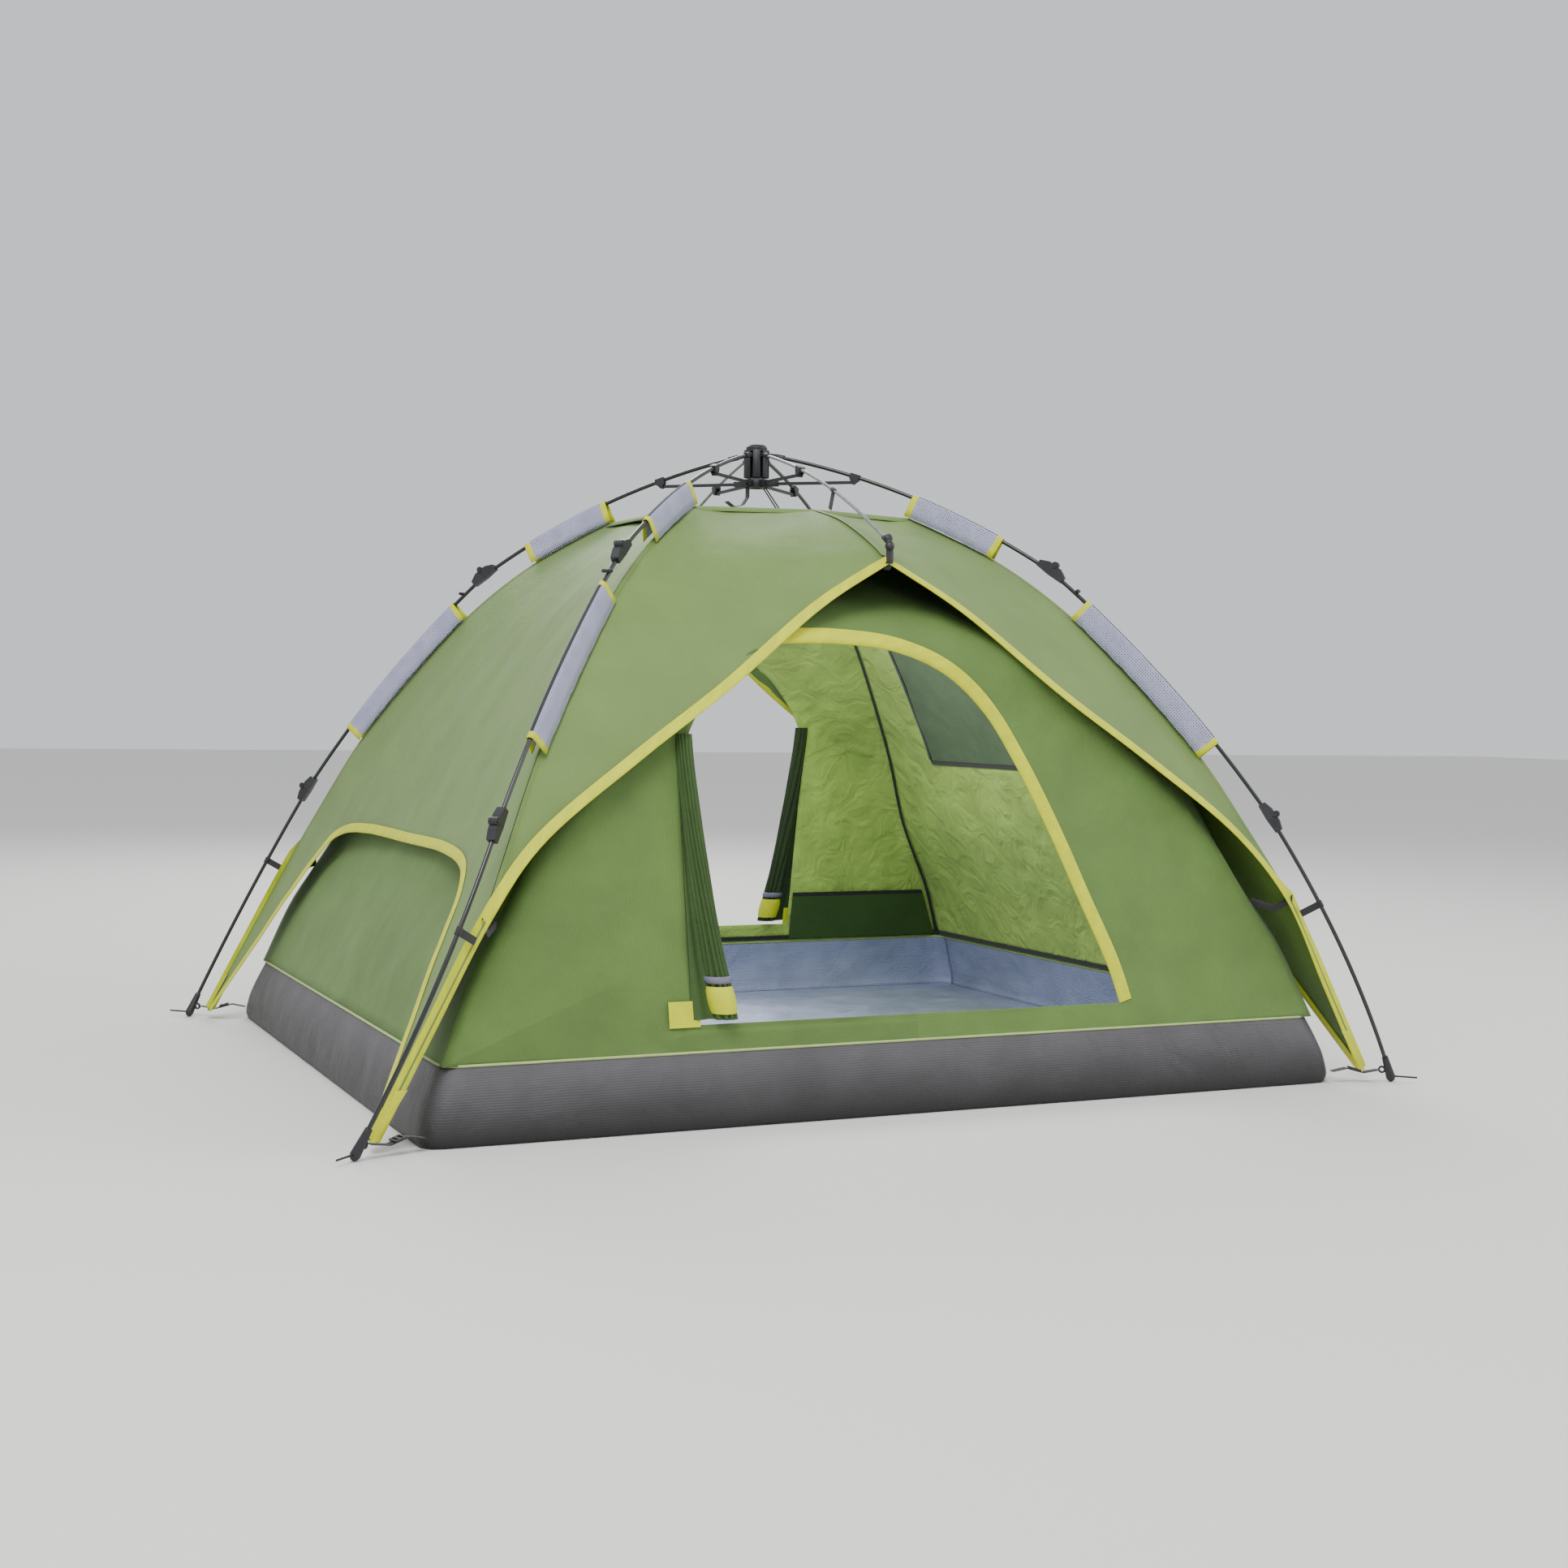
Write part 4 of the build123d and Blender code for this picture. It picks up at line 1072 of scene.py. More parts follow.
def roof_sheet(name, corner, peak, rise):
    """Patch over the top, round eight points, a little raised in the middle."""
    x, y = corner[0] * LEG_COS, corner[0] * LEG_SIN
    right = [(x, y), (x, 0.0), (x, -y), (0.0, -peak)]
    left = [(-x, -y), (-x, 0.0), (-x, y), (0.0, peak), (x, y)]
    outline = right + left
    rim = resample(np.array([(a, b, corner[1]) for a, b in outline]), 129)
    hem = rim * np.array([ROOF_LAP, ROOF_LAP, 1.0])
    hem[:, 2] -= (ROOF_LAP - 1) * corner[0] * ROOF_SLOPE
    rings = [hem]
    for share in np.linspace(1, 0.02, ROOF_RINGS):
        ring = rim * np.array([share, share, 1.0])
        ring[:, 2] += rise * (1 - share) ** 1.2
        rings.append(ring)
    grid = np.array(rings)
    calm = np.linspace(0, 1, ROOF_RINGS + 1)[:, None]
    grid[:, :, 2] += 0.0016 + ripples(grid, 0.002, 0.08, seed=5.5) * calm
    return Sheet(name).add(grid)


# ------------------------------------------------------------ shape of the inner tent
def inner_profile():
    """Inner tent sizes at close heights, from the ground up."""
    fine = smooth(INNER_LEVELS, 400)
    return fine[np.argsort(fine[:, 0])]


PROFILE = inner_profile()


def at_height(heights, column):
    """The inner tent's size in a column of its levels, at any height."""
    return np.interp(heights, PROFILE[:, 0], PROFILE[:, column])


def door_wall(flat):
    """Places (x, height) points on the front wall."""
    x, z = flat[..., 0], flat[..., 1]
    corner_x, corner_y = at_height(z, 1), at_height(z, 2)
    half, depth = at_height(z, 3), at_height(z, 4)
    share = np.clip((np.abs(x) - half) / np.maximum(corner_x - half, 1e-4), 0, 1)
    y = depth + (corner_y - depth) * share
    return np.stack([x, -y, z], axis=-1)


def wall_tape(line, middle, width, lift):
    """Tape folded over a doorway's edge, laid along the front wall."""
    tangent = np.gradient(line, axis=0)
    away = np.stack([-tangent[:, 1], tangent[:, 0]], axis=1)
    away /= np.linalg.norm(away, axis=1, keepdims=True)
    away *= np.sign((away * (line - np.array(middle))).sum(axis=1))[:, None]
    steps = [(1.0, 1.0), (0.66, 1.2), (0.33, 1.2), (0.0, 1.0)]
    steps += [(-0.05, 0.0), (0.0, -1.0), (1.0, -1.0)]
    columns = []
    for across, rise in steps:
        flat = line + away * across * width
        columns.append(door_wall(flat) + wall_normal(flat) * rise * lift)
    return np.stack(columns, axis=1)


def wall_normal(flat, reach=0.002):
    """Outward normal of the front wall at (x, height) points."""
    east, north = np.array([reach, 0.0]), np.array([0.0, reach])
    upward = door_wall(flat + north) - door_wall(flat - north)
    sideways = door_wall(flat + east) - door_wall(flat - east)
    n = np.cross(upward, sideways)
    n *= -np.sign(n[..., 1:2])
    return n / np.linalg.norm(n, axis=-1, keepdims=True)


def end_wall(flat):
    """Places (y, height) points on the right end wall."""
    y, z = flat[..., 0], flat[..., 1]
    return np.stack([at_height(z, 1), y, z], axis=-1)


def wall_outline(column):
    """Outline of a wall in its own plane: corners run up the legs."""
    heights = np.linspace(INNER_LEVELS[-1][0], INNER_LEVELS[0][0], WALL_STEPS)
    right = np.stack([at_height(heights, column), heights], axis=1)
    left = right[::-1] * np.array([-1.0, 1.0])
    top = between(right[-1:], left[:1], 60)[0]
    bottom = between(left[-1:], right[:1], WALL_STEPS)[0]
    return np.concatenate([right, top[1:-1], left, bottom[1:-1]])


def around(outline, middle, angles):
    """Where rays from a middle point cross a closed outline."""
    points = np.concatenate([outline, outline[:1]])
    bearing = np.unwrap(np.arctan2(points[:, 1] - middle[1], points[:, 0] - middle[0]))
    start = bearing[0]
    if bearing[-1] < start:
        points, bearing = points[::-1], bearing[::-1]
        start = bearing[0]
    turned = (angles - start) % (2 * math.pi) + start
    return np.stack([np.interp(turned, bearing, points[:, k]) for k in range(2)], axis=1)


def wall_with_hole(hole, middle, column, place, rows=22, count=260):
    """Wall grid that runs from the edge of an opening out to the wall's own edge."""
    outline = wall_outline(column)
    foot, top = outline[0], outline[WALL_STEPS - 1]
    other_side = np.array([-1, 1])
    corners = [foot, top, top * other_side, foot * other_side]
    marks = [math.atan2(z - middle[1], a - middle[0]) for a, z in corners]
    marks += [math.atan2(z - middle[1], a - middle[0]) for a, z in hole_corners(hole)]
    even = np.linspace(-0.5 * math.pi, 1.5 * math.pi, count, endpoint=False)
    marks = [(mark + 0.5 * math.pi) % (2 * math.pi) - 0.5 * math.pi for mark in marks]
    apart = np.abs(even[:, None] - np.array(marks)[None]).min(axis=1)
    angles = np.sort(np.concatenate([even[apart > 0.3 * (even[1] - even[0])], marks]))
    inner = around(hole, middle, angles)
    outer = around(outline, middle, angles)
    flat = between(inner, outer, rows).transpose(1, 0, 2)
    flat = np.concatenate([flat, flat[:, :1]], axis=1)
    return place(flat)


def hole_corners(hole):
    """Corners of an opening: where its edge turns by more than a fifth of a right angle."""
    ahead = np.roll(hole, -1, axis=0) - hole
    behind = hole - np.roll(hole, 1, axis=0)
    turn = np.arctan2(
        behind[:, 0] * ahead[:, 1] - behind[:, 1] * ahead[:, 0], (behind * ahead).sum(axis=1)
    )
    return hole[np.abs(turn) > CORNER_TURN]


def creased(grid, height, centre, seed, size=0.10):
    """Soft wrinkles that die out at a wall's edges."""
    n = facing(grid, centre)
    rows = grid.shape[0]
    share = np.linspace(0, 1, rows)
    calm = np.minimum(1, np.minimum(share, 1 - share) * 6)
    soft = ripples(grid, height, size, (1.0, 1.0, 0.6), seed) * calm[:, None]
    grid = grid + n * soft[:, :, None]
    if np.allclose(grid[:, 0], grid[:, -1], atol=2 * height):
        grid[:, 0] = grid[:, -1] = (grid[:, 0] + grid[:, -1]) / 2
    return grid


def doorway_outline():
    """The doorway's edge: a long curve, then straight down the hinged side and along the sill."""
    curve = smooth(DOORWAY[:DOORWAY_CURVE], 150)
    side = between(curve[-1:], np.array([DOORWAY[-1]]), 30)[0]
    sill = between(np.array([DOORWAY[-1]]), np.array([DOORWAY[0]]), 60)[0]
    return np.concatenate([curve, side[1:], sill[1:-1]])


def window_outline():
    """The window's four sides, as one line of points."""
    corners = np.array([*WINDOW, WINDOW[0]])
    sides = [between(corners[k : k + 1], corners[k + 1 : k + 2], 30)[0][:-1] for k in range(4)]
    return np.concatenate(sides)


class TENT_OT_inner(bpy.types.Operator):
    """Sews the inner tent: two door walls, two end walls with mesh windows, and a roof"""

    bl_idname = "object.tent_inner"
    bl_label = "Inner tent"

    def execute(self, context):
        settings = context.scene.tent_inner
        # painted light: the second cloth, the paler copy, goes on the inner face of the walls and
        # roof
        cloths = [wall_cloth(), wall_cloth_painted_light()]
        band = Sheet("door_bands")
        edge = doorway_outline()
        door = creased(
            wall_with_hole(edge, DOORWAY_MIDDLE, 1, door_wall), settings.wrinkle, INNER_MIDDLE, 1.3
        )
        pieces = []
        for name, turn in (("front", 1), ("back", -1)):
            wall = Sheet(f"inner_{name}_wall").add(mirror(door, turn, turn))
            piece = wall.build(cloths, settings.cloth, merge=True)
            declare(wall)
            pieces.append(piece)
            line = smooth(DOORWAY[:BAND_END], 150)
            strip = wall_tape(line, DOORWAY_MIDDLE, settings.band, BAND_LIFT)
            faces = [[0, 0, 0, 0, 1, 1]] * (len(strip) - 1)
            band.add(mirror(strip, turn, turn), slots=faces)
        end = wall_with_hole(window_outline(), WINDOW_MIDDLE, 2, end_wall)
        end = creased(end, settings.wrinkle, INNER_MIDDLE, 7.9)
        for name, x in (("right", 1), ("left", -1)):
            wall = Sheet(f"inner_{name}_wall").add(mirror(end, x, 1))
            piece = wall.build(cloths, settings.cloth, merge=True)
            declare(wall)
            pieces.append(piece)
        height, corner_x, corner_y, _, depth = INNER_LEVELS[0]
        corner = math.hypot(corner_x, corner_y)
        roof = roof_sheet("inner_roof", (corner, height), depth, INNER_ROOF_RISE)
        piece = roof.build(cloths, settings.cloth, merge=True)
        declare(roof)
        pieces.append(piece)
        band_piece = band.build([tape_cloth(), webbing_cloth()])
        declare(band)
        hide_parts("inner_tent")
        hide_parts("door_trims")
        for piece in [*pieces, band_piece]:
            hang(piece)
        return {"FINISHED"}


class TENT_OT_windows(bpy.types.Operator):
    """Fills both end windows with knitted mesh, with a seam tape round each"""

    bl_idname = "object.tent_windows"
    bl_label = "Mesh windows"

    def execute(self, context):
        corners = np.array(WINDOW)
        left = between(corners[3:], corners[2:3], 24)[0]
        right = between(corners[:1], corners[1:2], 24)[0]
        flat = between(left, right, 44)
        grid = creased(end_wall(flat), WINDOW_WRINKLE, INNER_MIDDLE, 4.2)
        rim = end_wall(np.concatenate([window_outline(), window_outline()[:2]]))
        normal = np.tile(np.array(WINDOW_NORMAL), (len(rim), 1))
        inward = rim - np.array([rim[0, 0], 0.0, WINDOW_MIDDLE[1]])
        tape = binding(rim, normal, inward, WINDOW_TAPE, WINDOW_TAPE_LIFT)
        for name, x in (("right", 1), ("left", -1)):
            pane = Sheet(f"window_{name}").add(mirror(grid, x, 1))
            piece = pane.build([window_cloth()])
            declare(pane)
            edge = Sheet(f"window_seam_{name}").add(mirror(tape, x, 1))
            seam = edge.build([webbing_cloth()])
            declare(edge)
            hang(piece)
            hang(seam)
            if name == "right":
                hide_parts("side_windows")
        return {"FINISHED"}


class TENT_OT_doors(bpy.types.Operator):
    """Gathers each door's cloth into a tied roll beside its doorway"""

    bl_idname = "object.tent_doors"
    bl_label = "Gathered doors"

    def execute(self, context):
        cloth = context.scene.tent_inner.door
        for name, turn, share in (("front", 1, 1.0), ("back", -1, BACK_DOOR_SHADE)):
            # painted shade: both doors take the darker door colour, and the back door's is darkened
            # further by BACK_DOOR_SHADE for the shade of the fly
            material = door_cloth_painted_shade(name, tinted(cloth, share))
            door = Sheet(f"door_{name}")
            core = (turn * DOOR_HINGE, -turn * 0.75, 0.45)
            door.add(mirror(self.roll(), turn, turn), centre=core)
            door.add(mirror(self.web(), turn, turn))
            piece = door.build([material])
            declare(door)
            hang(piece)
            for kind, cuff, finish, slot in (
                ("tie", self.cuff(*DOOR_TIE), tape_cloth(), "yellow_tape"),
                ("cuff", self.cuff(*DOOR_CUFF), sleeve_tape(), "sleeve_mesh"),
            ):
                band = Sheet(f"door_{kind}_{name}")
                band.add(mirror(cuff, turn, turn), centre=cuff.mean(axis=(0, 1)) * (turn, turn, 1))
                if kind == "tie":
                    band.add(mirror(self.tab(), turn, turn))
                tied = band.build([finish])
                declare(band)
                hang(tied)
            if name == "front":
                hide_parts("doors")
        return {"FINISHED"}

    def middle(self, share):
        """Middle of the roll, from its foot at 0 to its top at 1."""
        foot = DOORWAY[-1][1]
        height = foot + DOOR_FOOT_GAP + (DOOR_TOP - foot - DOOR_FOOT_GAP) * share
        lean = DOOR_LEAN * (1 - share) ** 1.7
        return np.array([DOOR_HINGE + lean, -float(at_height(height, 4)) - 0.004, height])

    def roll(self):
        """Pleated roll of cloth, thinner at its top."""
        rows = []
        for share in np.linspace(0, 1, 70):
            spot = self.middle(share)
            size = ROLL_RADIUS - ROLL_TAPER * share
            row = []
            for angle in np.linspace(0, 2 * math.pi, DOOR_FOLDS * 12):
                pleat = abs(math.cos(0.5 * DOOR_FOLDS * angle + 2.6 * math.sin(3 * share + angle)))
                reach = size * (0.74 + 0.26 * pleat)
                reach += 0.0022 * noise.noise(Vector((angle, share * 6, 0.3)))
                row.append(spot + reach * np.array([math.cos(angle), math.sin(angle), 0.0]))
            rows.append(row)
        return np.array(rows)

    def web(self):
        """Slack cloth between the hinged edge and the roll."""
        rows = []
        for share in np.linspace(0, 1, 60):
            spot = self.middle(share)
            edge = np.array([DOORWAY[-1][0] - 0.004, spot[1] + 0.004, spot[2]])
            row = []
            for across in np.linspace(0, 1, 14):
                wave = 0.005 * math.sin(9 * across + 5 * share) * math.sin(math.pi * across)
                row.append(edge + (spot - edge) * across + np.array([0, -wave - 0.003, 0]))
            rows.append(row)
        return np.array(rows)

    def cuff(self, low, high, radius):
        """Band round the roll between two shares of its length."""
        crown = (0.90, 0.97, 1.0, 1.01, 1.0, 0.97, 0.90)
        circle = [
            np.array([math.cos(a), math.sin(a), 0]) for a in np.linspace(0, 2 * math.pi, 40)
        ]
        rings = []
        for share, grow in zip(np.linspace(low, high, len(crown)), crown):
            spot = self.middle(share)
            rings.append([spot + radius * grow * way for way in circle])
        return np.array(rings)

    def tab(self):
        """Flat end of the tie, sewn to the wall beside the doorway."""
        across, up = np.meshgrid(np.linspace(*TAB_WIDTH, 12), np.linspace(*TAB_HEIGHT, 8))
        flat = np.stack([across, up], axis=-1)
        return door_wall(flat) + wall_normal(flat) * TAB_LIFT


# ------------------------------------------------------------ floor
def rounded(x, y, radius, height):
    """Rectangle with round corners, as a closed ring at a height."""
    points = []
    for sx, sy, start in ((1, 1, 0), (-1, 1, 90), (-1, -1, 180), (1, -1, 270)):
        for turn in np.linspace(0, 90, 9):
            angle = math.radians(start + turn)
            east = sx * (x - radius) + radius * math.cos(angle)
            north = sy * (y - radius) + radius * math.sin(angle)
            points.append((east, north))
    ring = np.array([*points, points[0]])
    level = np.full((RING_POINTS, 1), height)
    return np.concatenate([resample(ring, RING_POINTS), level], axis=1)


class TENT_OT_floor(bpy.types.Operator):
    """Makes the bucket floor: coated walls, wrinkled ground sheet and piping"""

    bl_idname = "object.tent_floor"
    bl_label = "Bucket floor"

    def execute(self, context):
        settings = context.scene.tent_floor
        _, high = TUB_BOX
        base_x, base_y = high.x - 0.001, high.y - 0.001
        top_x, top_y = INNER_LEVELS[-1][1], INNER_LEVELS[-1][2]
        rings = []
        for share in np.linspace(0, 1, TUB_ROWS):
            x = base_x + (top_x - base_x) * share
            y = base_y + (top_y - base_y) * share
            belly = settings.bulge * math.sin(math.pi * share) * 0.9
            foot = 0.006 * max(0.0, 1 - share * 6) ** 2
            height = 0.0015 + (high.z - 0.002) * share
            rings.append(rounded(x + belly - foot, y + belly - foot, settings.corner, height))
        grid = np.array(rings)
        n = facing(grid, (0.0, 0.0, 0.07))
        soft = ripples(grid, TUB_WRINKLE, 0.09, (1.0, 1.0, 0.8), 2.6)
        soft *= np.sin(np.linspace(0, math.pi, TUB_ROWS))[:, None]
        grid = grid + n * soft[:, :, None]
        walls = Sheet("tub_walls").add(grid)
        walls_piece = walls.build([tub_cloth(), ground_cloth()], TUB_THICKNESS)
        declare(walls)
        sheet = Sheet("ground_sheet").add(self.ground(grid[0]))
        ground_piece = sheet.build([ground_cloth()])
        declare(sheet)
        path = grid[-1] + np.array([0, 0, 0.001])
        piping = Sheet("tub_piping_cord").add(tube_grid(path, settings.piping), closed=True)
        piping_piece = piping.build([piping_cloth()])
        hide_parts("floor_tub")
        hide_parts("tub_piping")
        for piece in (walls_piece, ground_piece, piping_piece):
            hang(piece)
        return {"FINISHED"}

    def ground(self, rim):
        """Ground sheet inside the walls' foot, with wrinkles that fade at its edge."""
        grid = np.array([mirror(rim, share, share) for share in np.linspace(1, 0.01, GROUND_RINGS)])
        calm = np.minimum(1, np.linspace(0, 1, GROUND_RINGS) * 8)[:, None]
        height = np.abs(ripples(grid, GROUND_WRINKLE, 0.13, (1.0, 1.8, 1.0), 8.8)) * calm
        grid[:, :, 2] = GROUND_LIFT + height
        return grid


# ------------------------------------------------------------ sleeves
def node_points(node):
    """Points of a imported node's mesh."""
    return np.array([v.co for v in frame["nodes"][node].data.vertices], float)


def pole_line(node, side):
    """A leg's outward and sideways ways, and its pole's height by distance from the axis."""
    out, sideways = leg_axes(side)
    points = node_points(node)
    height = np.polyfit(points @ np.array(out), points[:, 2], 5)
    return np.array(out), np.array(sideways), height


class TENT_OT_sleeves(bpy.types.Operator):
    """Lays the mesh sleeves over the poles, with taped ends and a dark pole seam"""

    bl_idname = "object.tent_sleeves"
    bl_label = "Pole sleeves"

    def execute(self, context):
        settings = context.scene.tent_sleeve
        for side in LEGS:
            for part, segment in (("upper", "upper"), ("lower", "middle")):
                node = f"{part}_sleeve_{side}"
                pole = f"{segment}_pole_{side}"
                body = f"{segment}_leg_{side}"
                self.sleeve(node, pole, body, side, settings)
        return {"FINISHED"}

    def sleeve(self, node, pole, body, side, settings):
        """One sleeve: a curtain over its pole that flares and ripples towards its open edge."""
        out, sideways, height = pole_line(pole, side)
        points = node_points(node)
        span = (points @ out).min() + SLEEVE_END, (points @ out).max() - SLEEVE_END
        reach = np.linspace(*span, SLEEVE_ROWS)
        up = np.array([0, 0, 1.0])
        line = out[None] * reach[:, None] + up * np.polyval(height, reach)[:, None]
        along = lengths(line)
        tangent = np.gradient(line, axis=0)
        tangent /= np.linalg.norm(tangent, axis=1, keepdims=True)
        rise = np.cross(sideways[None], tangent)
        rise *= np.sign(rise[:, 2:3])
        section = [(-settings.half_width, -settings.drop), *SLEEVE_SIDE]
        skirt = len(section)
        section += [
            (SLEEVE_RADIUS * math.sin(a), SLEEVE_RADIUS * math.cos(a))
            for a in np.linspace(-SLEEVE_WRAP, SLEEVE_WRAP, 9)
        ]
        section += [(-a, b) for a, b in reversed(section[:skirt])]
        grid = np.empty((SLEEVE_ROWS, len(section), 3))
        slots = []
        for i in range(SLEEVE_ROWS):
            flare = 1 + 0.05 * noise.noise(Vector((along[i] * 22, 1.7, span[0] * 9)))
            for j, (across, up) in enumerate(section):
                hem = 0.0015 * noise.noise(Vector((along[i] * 40, j * 1.3, span[0] * 5)))
                loose = min(1.0, abs(up) / 0.02) if up < 0 else 0.0
                grid[i, j] = line[i] + sideways * across * (1 + (flare - 1) * loose)
                grid[i, j] += rise[i] * (up + hem * loose)
            taped = along[i] < settings.band or along[i] > along[-1] - settings.band - 0.003
            row = []
            for j in range(len(section) - 1):
                seam = 6 <= j <= 9
                row.append(1 if taped else 2 if seam else 0)
            slots.append(row)
        sleeve = Sheet(f"{node}_cloth").add(grid, slots=slots)
        piece = sleeve.build([sleeve_cloth(), tape_cloth(), webbing_cloth()])
        solid = piece.modifiers.new("thickness", "SOLIDIFY")
        solid.thickness = SLEEVE_THICKNESS
        solid.offset = 1.0
        declare(sleeve)
        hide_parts(node)
        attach(piece, body)


# ------------------------------------------------------------ straps, toggles and seams
def ribbon(points, across, half, thickness):
    """Flat strap along points, as a closed band of even thickness."""
    line = resample(np.array(points, float), 24)
    tangent = np.gradient(line, axis=0)
    across = np.array(across, float)
    normal = np.cross(tangent, across)
    normal /= np.linalg.norm(normal, axis=1, keepdims=True)
    corners = [(-half, 1), (0.0, 1.15), (half, 1), (half, -1), (0.0, -1.15), (-half, -1)]
    return np.stack([line + across * a + normal * b * thickness / 2 for a, b in corners], axis=1)


def toggle(centre, axis, length, radius):
    """Barrel toggle with a waist: rings along its axis."""
    axis = np.array(axis, float) / np.linalg.norm(axis)
    side = np.cross(axis, (0.31, 0.17, 0.93))
    side /= np.linalg.norm(side)
    other = np.cross(axis, side)
    circle = [side * math.cos(a) + other * math.sin(a) for a in np.linspace(0, 2 * math.pi, 20)]
    rings = []
    for share in np.linspace(0, 1, 17):
        waist = 1 - 0.28 * math.exp(-(((share - 0.5) / 0.12) ** 2))
        bulge = (1 - (2 * share - 1) ** 6) ** 0.5 * waist
        spot = np.array(centre) + axis * (share - 0.5) * length
        rings.append([spot + way * max(radius * bulge, 0.0002) for way in circle])
    return np.array(rings)


def solid_piece(name, grids, material):
    """Closed bands or toggles gathered in one piece, each facing away from its own middle."""
    sheet = Sheet(name)
    for grid in grids:
        sheet.add(grid, centre=grid.mean(axis=(0, 1)))
    return sheet.build([material], merge=True)


class TENT_OT_trimmings(bpy.types.Operator):
    """Adds the pole, ridge and corner straps, toggles, inner seams and base strips"""

    bl_idname = "object.tent_trimmings"
    bl_label = "Straps, toggles and seams"

    def execute(self, context):
        self.pole_straps()
        self.ridge_straps()
        self.corner_straps()
        self.sleeve_toggles()
        self.inner_seams()
        self.base_strips()
        return {"FINISHED"}

    def pole_straps(self):
        """Strap round each lower pole and each ridge rod, which stays on it as the frame folds."""
        source = frame["nodes"]["pole_straps"]
        carriers = {f"lower_leg_{side}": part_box(f"lower_pole_{side}") for side in LEGS}
        carriers |= {f"ridge_arm_{end}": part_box(f"ridge_rod_{end}") for end in RIDGES}
        for body, (low, high) in carriers.items():
            mesh = source.data.copy()
            strap = bpy.data.objects.new(f"pole_strap_{body}", mesh)
            bpy.context.scene.collection.objects.link(strap)
            work = bmesh.new()
            work.from_mesh(mesh)
            apart = [v for v in work.verts if not self.within(v.co, low, high)]
            bmesh.ops.delete(work, geom=apart, context="VERTS")
            bmesh.ops.remove_doubles(work, verts=work.verts, dist=0.00001)
            work.to_mesh(mesh)
            work.free()
            mesh.materials.clear()
            mesh.materials.append(webbing_cloth())
            bevel = strap.modifiers.new("edge", "BEVEL")
            bevel.width = 0.0004
            bevel.segments = 2
            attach(strap, body)
            if body == "ridge_arm_front":
                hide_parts("pole_straps")

    def within(self, place, low, high, room=0.045):
        """Whether a point lies in a box, or near it."""
        return all(low[k] - room < place[k] < high[k] + room for k in range(3))

    def ridge_straps(self):
        """Strap from each ridge rod's end down to the point of the door arch."""
        for name, y in (("front", -1), ("back", 1)):
            low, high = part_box(f"ridge_rod_{name}")
            tip = max(abs(low.y), abs(high.y))
            height = low.z + 0.004
            depth, top = FLY_PEAK[-1]
            path = [
                (tip + 0.002, height),
                (tip + 0.004, height - 0.012),
                (depth + 0.004, top + 0.004),
                (depth - 0.010, top - 0.012),
            ]
            points = [(0, y * reach, up) for reach, up in path]
            grid = ribbon(points, (1, 0, 0), STRAP_HALF, RIDGE_STRAP_THICKNESS)
            piece = solid_piece(f"ridge_strap_{name}", [grid], webbing_cloth())
            hang(piece)
            hook = toggle((0, y * tip, low.z + 0.003), (0, y * 0.5, -1), *RIDGE_HOOK)
            fitting = solid_piece(f"ridge_hook_{name}", [hook], black_plastic())
            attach(fitting, f"ridge_arm_{name}")

    def corner_straps(self):
        """Strap that goes on from the fly's edge to each corner of the inner tent."""
        reach, height = FLY_RIDGE[-1]
        inner_x, inner_y = at_height(CORNER_HEIGHT, 1), at_height(CORNER_HEIGHT, 2)
        path = [
            ((reach + 0.004) * LEG_COS, (reach + 0.004) * LEG_SIN, height),
            (inner_x + 0.030, inner_y + 0.045, CORNER_HEIGHT - 0.012),
            (inner_x + 0.001, inner_y + 0.001, CORNER_HEIGHT),
        ]
        grids = []
        for x in (1, -1):
            for y in (1, -1):
                points = [(x * a, y * b, c) for a, b, c in path]
                grids.append(ribbon(points, (0, 0, 1), STRAP_HALF, CORNER_STRAP_THICKNESS))
        piece = solid_piece("corner_straps", grids, webbing_cloth())
        hang(piece)

    def sleeve_toggles(self):
        """Small toggle beside the upper end of each lower sleeve."""
        for side in LEGS:
            out, sideways, height = pole_line(f"middle_pole_{side}", side)
            reach = (node_points(f"lower_sleeve_{side}") @ out).min() - 0.004
            centre = out * reach + np.array([0, 0, np.polyval(height, reach) + 0.0095])
            grid = toggle(centre, sideways, *SLEEVE_TOGGLE)
            piece = solid_piece(f"sleeve_toggle_{side}", [grid], black_plastic())
            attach(piece, f"middle_leg_{side}")

    def inner_seams(self):
        """Dark seam tapes inside: up the four corners and round the floor's top edge."""
        seams = Sheet("inner_seam_tapes")
        heights = np.linspace(0.15, 1.04, 60)
        edge = np.stack([at_height(heights, 1), at_height(heights, 2), heights], axis=1)
        insets = ((0.004, 0.009, 0.0), (0.005, 0.005, 0.0), (0.009, 0.004, 0.0))
        strip = np.stack([edge - np.array(inset) for inset in insets], axis=1)
        for x in (1, -1):
            for y in (1, -1):
                seams.add(mirror(strip, x, y))
        x, y = at_height(0.150, 1) - 0.003, at_height(0.150, 2) - 0.003
        low = rounded(x, y, 0.02, 0.146)
        high = rounded(x - 0.003, y - 0.002, 0.02, 0.158)
        seams.add(np.stack([low, high], axis=0))
        piece = seams.build([webbing_cloth()])
        declare(seams)
        hang(piece)

